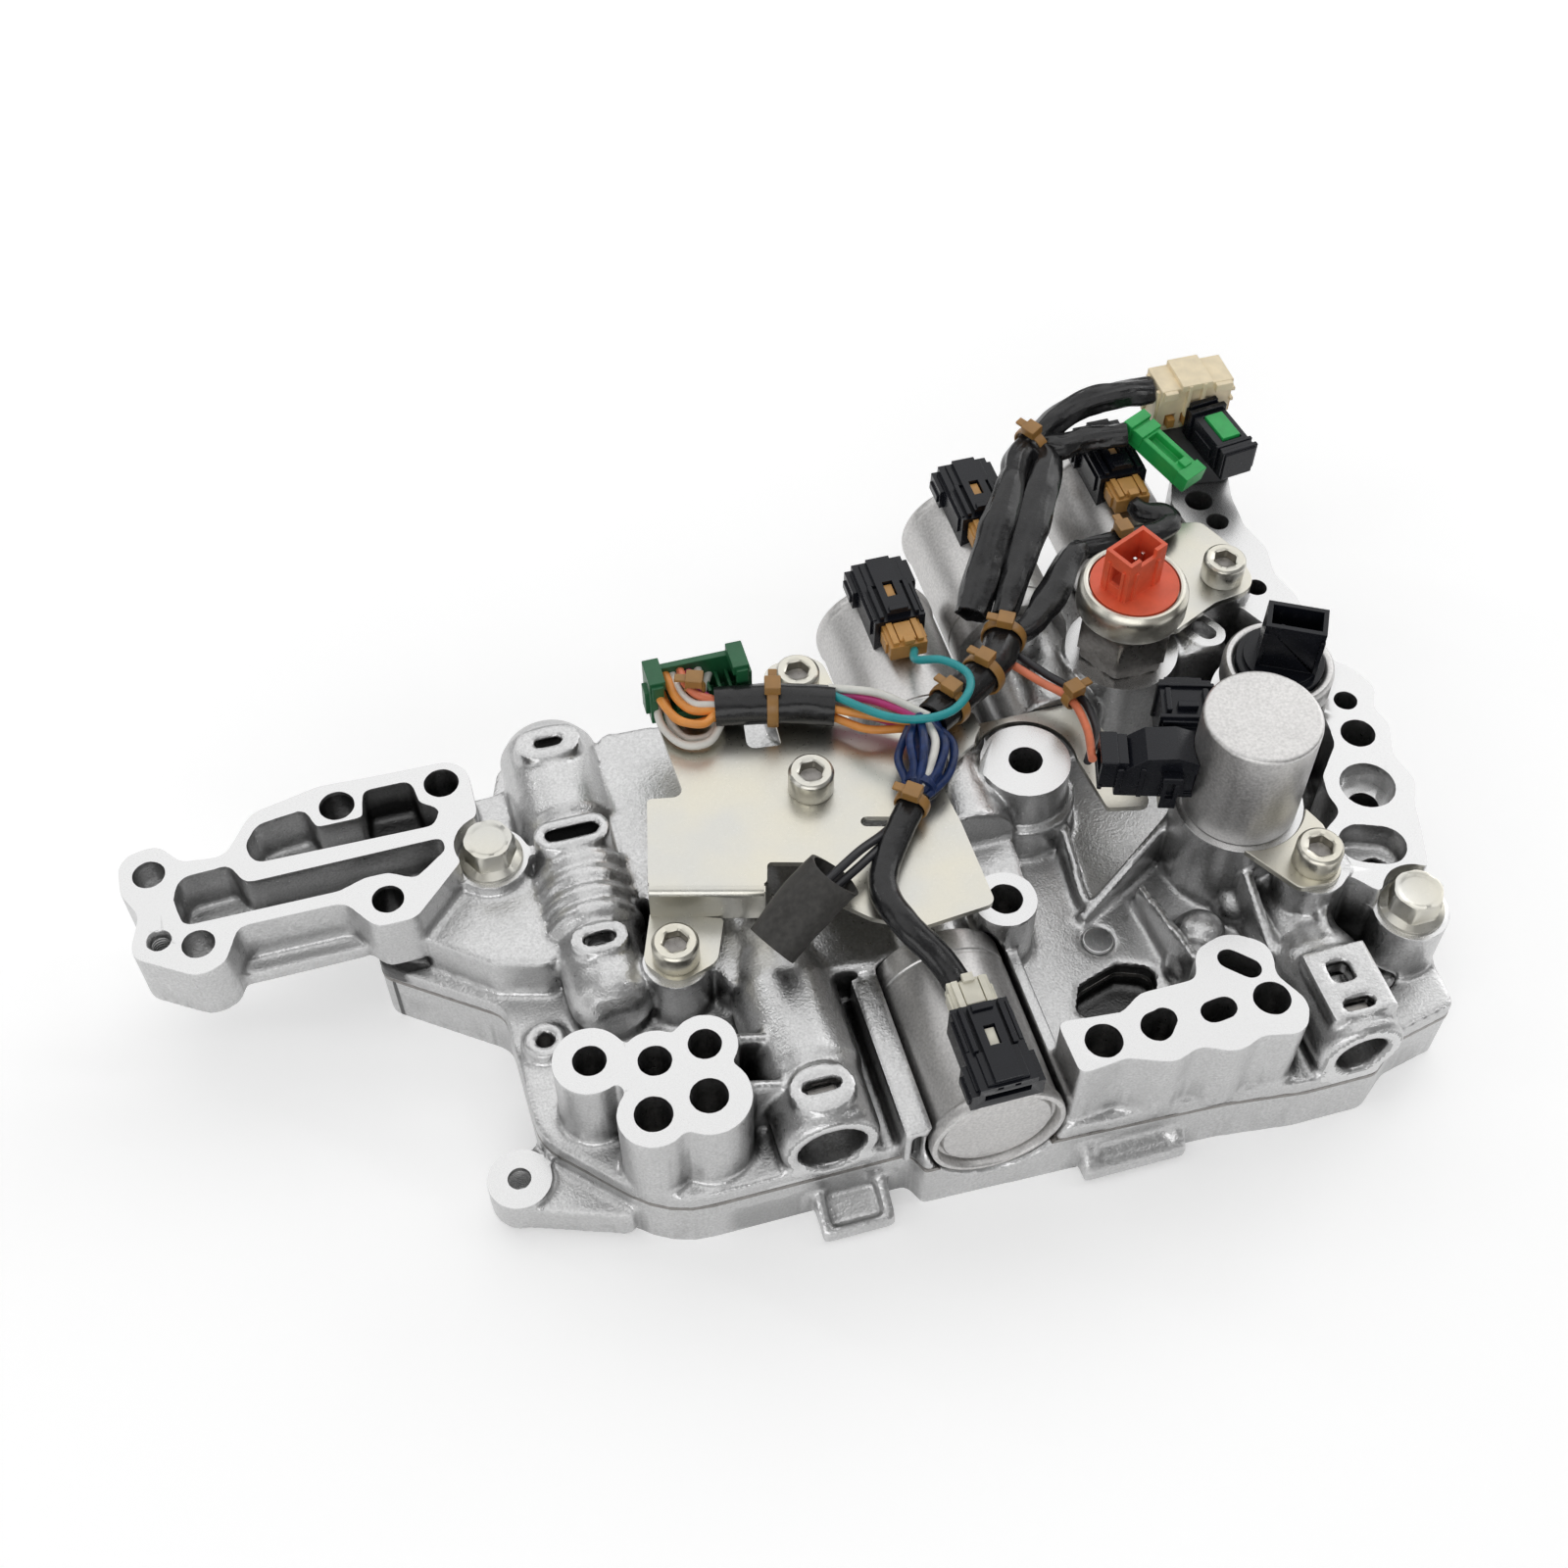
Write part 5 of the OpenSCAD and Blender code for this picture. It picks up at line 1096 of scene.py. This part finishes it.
def add_solenoid_connectors():
    """Openings, ribs and latches of the lying solenoids' connectors, and steps of their plugs."""
    for solenoid in LYING:
        place = on_solenoid(solenoid)
        carved(solenoid + "_connector_moulded", solenoid + "_connector", "black_plastic", place, [
            ((-4.8, 40.6, 17.2), (4.8, 45, 19.2)), ((-2.4, 41, 20.4), (-1.2, 45, 21.2)),
            ((1.2, 41, 20.4), (2.4, 45, 21.2)),
        ])
        boxes(solenoid + "_connector_ribs", "black_plastic", place, mirrored([
            ((3.6, 24, 21), (4.7, 34.4, 22.8)), ((5.2, 24.4, 20.8), (6, 33.6, 21.9)),
            ((7.2, 36.4, 15.8), (8.1, 41.8, 18)),
        ]) + [((-2.2, 24.6, 22.8), (2.2, 26.2, 23.9)), ((-4.4, 34.4, 20.8), (4.4, 42, 22.2))])
        tongue = "ivory_plastic" if solenoid == "front" else "tan_plastic"
        boxes(solenoid + "_latch_tongue", tongue, place, [((-1, 29.8, 19.4), (1, 33.8, 22.4))], 0.15)
        boxes(solenoid + "_plug_steps", tongue, place, mirrored([
            ((2.2, 17, 20), (3.6, 23.4, 21.2)), ((3.9, 18.6, 16.4), (4.9, 22.6, 19.6)),
        ]) + [((-1.2, 16.2, 20.8), (1.2, 18.2, 22))], 0.15)


def add_sensor_sockets():
    carved("orange_socket_moulded", "orange_sensor_socket", "orange_plastic", ORANGE_SOCKET, [
        ((-7, -1.5, 3), (-4, 1.5, 8)), ((-2.4, -5, 9.6), (2.4, -2.6, 14)),
    ], 0.2)
    boxes("orange_socket_ribs", "orange_plastic", ORANGE_SOCKET, [
        ((-3.9, -4.3, 0), (-2.9, -3.6, 8.4)), ((2.9, -4.3, 0), (3.9, -3.6, 8.4)),
        ((5.5, -1, 0), (6.3, 1, 7)), ((-6.3, -2.6, 0), (-5.5, -1.8, 9)),
        ((-6.3, 1.8, 0), (-5.5, 2.6, 9)),
    ], 0.15)
    socket_pins("orange_socket_pins", ORANGE_SOCKET, 2.6, 8)
    boxes("black_socket_ribs", "black_plastic", BLACK_SOCKET, [
        ((-6.7, -4.6, 0), (-5.7, -3.8, 12)), ((5.7, -4.6, 0), (6.7, -3.8, 12)),
        ((-0.8, 3.8, 0), (0.8, 4.7, 11)), ((-3.4, -3.2, 9), (-2.6, -2.6, 14)),
    ], 0.15)
    socket_pins("black_socket_pins", BLACK_SOCKET, 3, 9)


def add_standing_connector():
    carved("standing_connector_moulded", "standing_connector", "black_plastic", STANDING_PLUG, [
        ((1.6, -7, 1.2), (3.2, -5, 6.4)), ((-13, -2.8, 4), (-10, 2.8, 9)), ((5.6, -5, 1), (8.4, -3.9, 8)),
    ], 0.35)
    boxes("standing_connector_latch", "black_plastic", STANDING_PLUG, [
        ((0.2, -6.7, 7.2), (4.6, -4.4, 8.8)), ((-9.2, -4.9, 0.4), (-7.8, 4.9, 9.2)),
        ((-4.4, -4.9, 0), (-3.2, -4.2, 9.6)), ((-12.8, -4.4, 1.6), (-11.8, 4.4, 2.8)),
        ((-12.8, -4.4, 9.6), (-9, 4.4, 10.8)),
    ], 0.3)
    boxes("standing_connector_ribs", "black_plastic", STANDING_BACK, [
        ((-6.1, -5.2, 1), (6.1, -4.2, 11.8)), ((-6.1, 3.6, 1), (6.1, 4.6, 11.8)),
        ((-4.6, -3.4, 10.6), (-3.4, 2.8, 12.2)), ((3.4, -3.4, 10.6), (4.6, 2.8, 12.2)),
        ((-1.6, 4.6, 3), (1.6, 8.6, 9)), ((-2.2, -2.6, 10.8), (2.2, -1, 12.4)),
    ], 0.25)


def add_harness_connectors():
    """Teeth, ribs and contacts of the connectors at the harness's ends."""
    boxes("green_comb_teeth", "dark_green_plastic", GREEN_COMB, [
        ((x - 0.4, -3.2, 1.4), (x + 0.4, 2.2, 6.4)) for x in (-7.2, -4.8, -2.4, 0, 2.4, 4.8, 7.2)
    ] + mirrored([
        ((7.6, -3.8, 10.4), (11.3, 3.6, 13.2)), ((11, -2.4, 2), (12.2, 1, 9)),
        ((8.2, -4.6, 8.4), (10.8, -3.4, 12.4)),
    ]) + [((-11, 2.8, 0.6), (11, 4.4, 2.4))])
    boxes("cream_connector_ribs", "cream_plastic", CREAM_CONNECTOR, [
        ((5, -0.8, 12.4), (13, 9.8, 14.2)), ((6.6, -1.1, 3), (7.6, 0.4, 14)),
        ((10.4, -1.1, 3), (11.4, 0.4, 14)), ((-0.7, 1, 1), (0.4, 2.2, 12)),
        ((-0.7, 7.4, 1), (0.4, 8.6, 12)), ((18.6, -0.6, 6.4), (19.6, 9.4, 7.4)),
        ((18.6, -0.6, 9.6), (19.6, 9.4, 10.6)), ((0.6, -1.2, 10.6), (4, 0.4, 12.8)),
        ((14, -1.2, 10.6), (18.4, 0.4, 12.8)),
    ])
    boxes("cream_connector_contacts", "tan_plastic", CREAM_CONNECTOR, [
        ((2.3 + 4.2 * i, -1.4, 1.9), (4.2 + 4.2 * i, 1.2, 4.5)) for i in range(4)
    ] + [((18.8, 1.2 + 2.1 * i, 1.6), (20, 2.5 + 2.1 * i, 5.6)) for i in range(4)], 0.2)
    boxes("lock_connector_ribs", "black_plastic", LOCK_CONNECTOR, [
        ((-5.2, -19, 1), (4.6, -17.8, 8.5)), ((-5.2, -16.4, 1), (4.6, -15.4, 8.3)),
        ((-5.2, -4.2, 0.6), (4.6, -2.6, 9)), ((-4, -2, 7.6), (3.4, -0.4, 9.4)),
        ((-5.1, -13.4, 2.4), (-4.4, -6, 5.4)), ((3.8, -13.4, 2.4), (4.5, -6, 5.4)),
    ], 0.25)
    boxes("green_plug_ribs", "green_plastic", GREEN_PLUG, [
        ((-10.9, -3.5, -1.6), (-8.2, 3.5, 3.4)), ((7.6, -3.5, -1.6), (10.9, 3.5, 2.9)),
        ((-7.4, -3.4, -0.4), (-4.6, 3.4, 3.2)), ((5.4, -1.2, 2), (7.8, 1.2, 3.4)),
        ((-4.6, 2.6, -1), (6, 3.5, 1)),
    ])


# CAD nodes that keep their own form

# Slot and edge radius in millimetres, with the nodes that have them
DRESSED = {
    ("plate_steel", 0): ["separator_plate"],
    # the retainer keys take the dark plate steel as painted shade of the slots they sit in
    ("plate_steel", 0.2): ["retainer_keys"],
    ("bright_steel", 0): ["dowel_pins", "left_spool", "centre_spool", "right_spool"],
    ("bright_steel", 0.3): ["oil_plug"],
    ("spring_steel", 0): ["left_spring", "centre_spring", "right_spring"],
    ("turned_aluminium", 0): ["left_plug", "centre_plug", "right_plug", "solenoid_noses", "standing_nose"],
    ("zinc_steel", 0.25): ["harness_bracket", "sensor_retainer", "standing_retainer"],
    ("seal_rubber", 0): ["nose_seals"],
    ("grey_plastic", 0.5): ["connector_housing"],
    ("black_plastic", 0.2): ["black_sensor_socket"],
    ("black_plastic", 0.3): ["lock_connector"],
    ("dark_green_plastic", 0.2): ["green_comb"],
    ("green_plastic", 0.2): ["lock_slider"],
    ("green_plastic", 0.3): ["green_plug"],
    ("cream_plastic", 0.3): ["cream_connector"],
    ("ivory_plastic", 0.3): ["front_plug"],
    ("tan_plastic", 0.3): ["rear_plugs"],
}

casting("upper_casting", "upper_body", UPPER_TOPS, UPPER_BOTTOMS, UPPER_TRIANGLES, SPOOL_BORES, rings=True)
casting("lower_casting", "lower_body", LOWER_TOPS, LOWER_BOTTOMS, LOWER_TRIANGLES)
for (slot, bevel), dressed in DRESSED.items():
    for node in dressed:
        dress(node, slot, bevel * MM)
add_cans()
add_threads()
add_solenoid_connectors()
add_sensor_sockets()
add_standing_connector()
add_harness_connectors()
add_fasteners()
add_bracket_bend()
add_harness()
add_ties()

scene.view_settings.view_transform = "Standard"
add_camera()
add_floor()
add_world()
for name, place, size, radiance in SOFTBOXES:
    add_softbox(name, place, size, radiance)
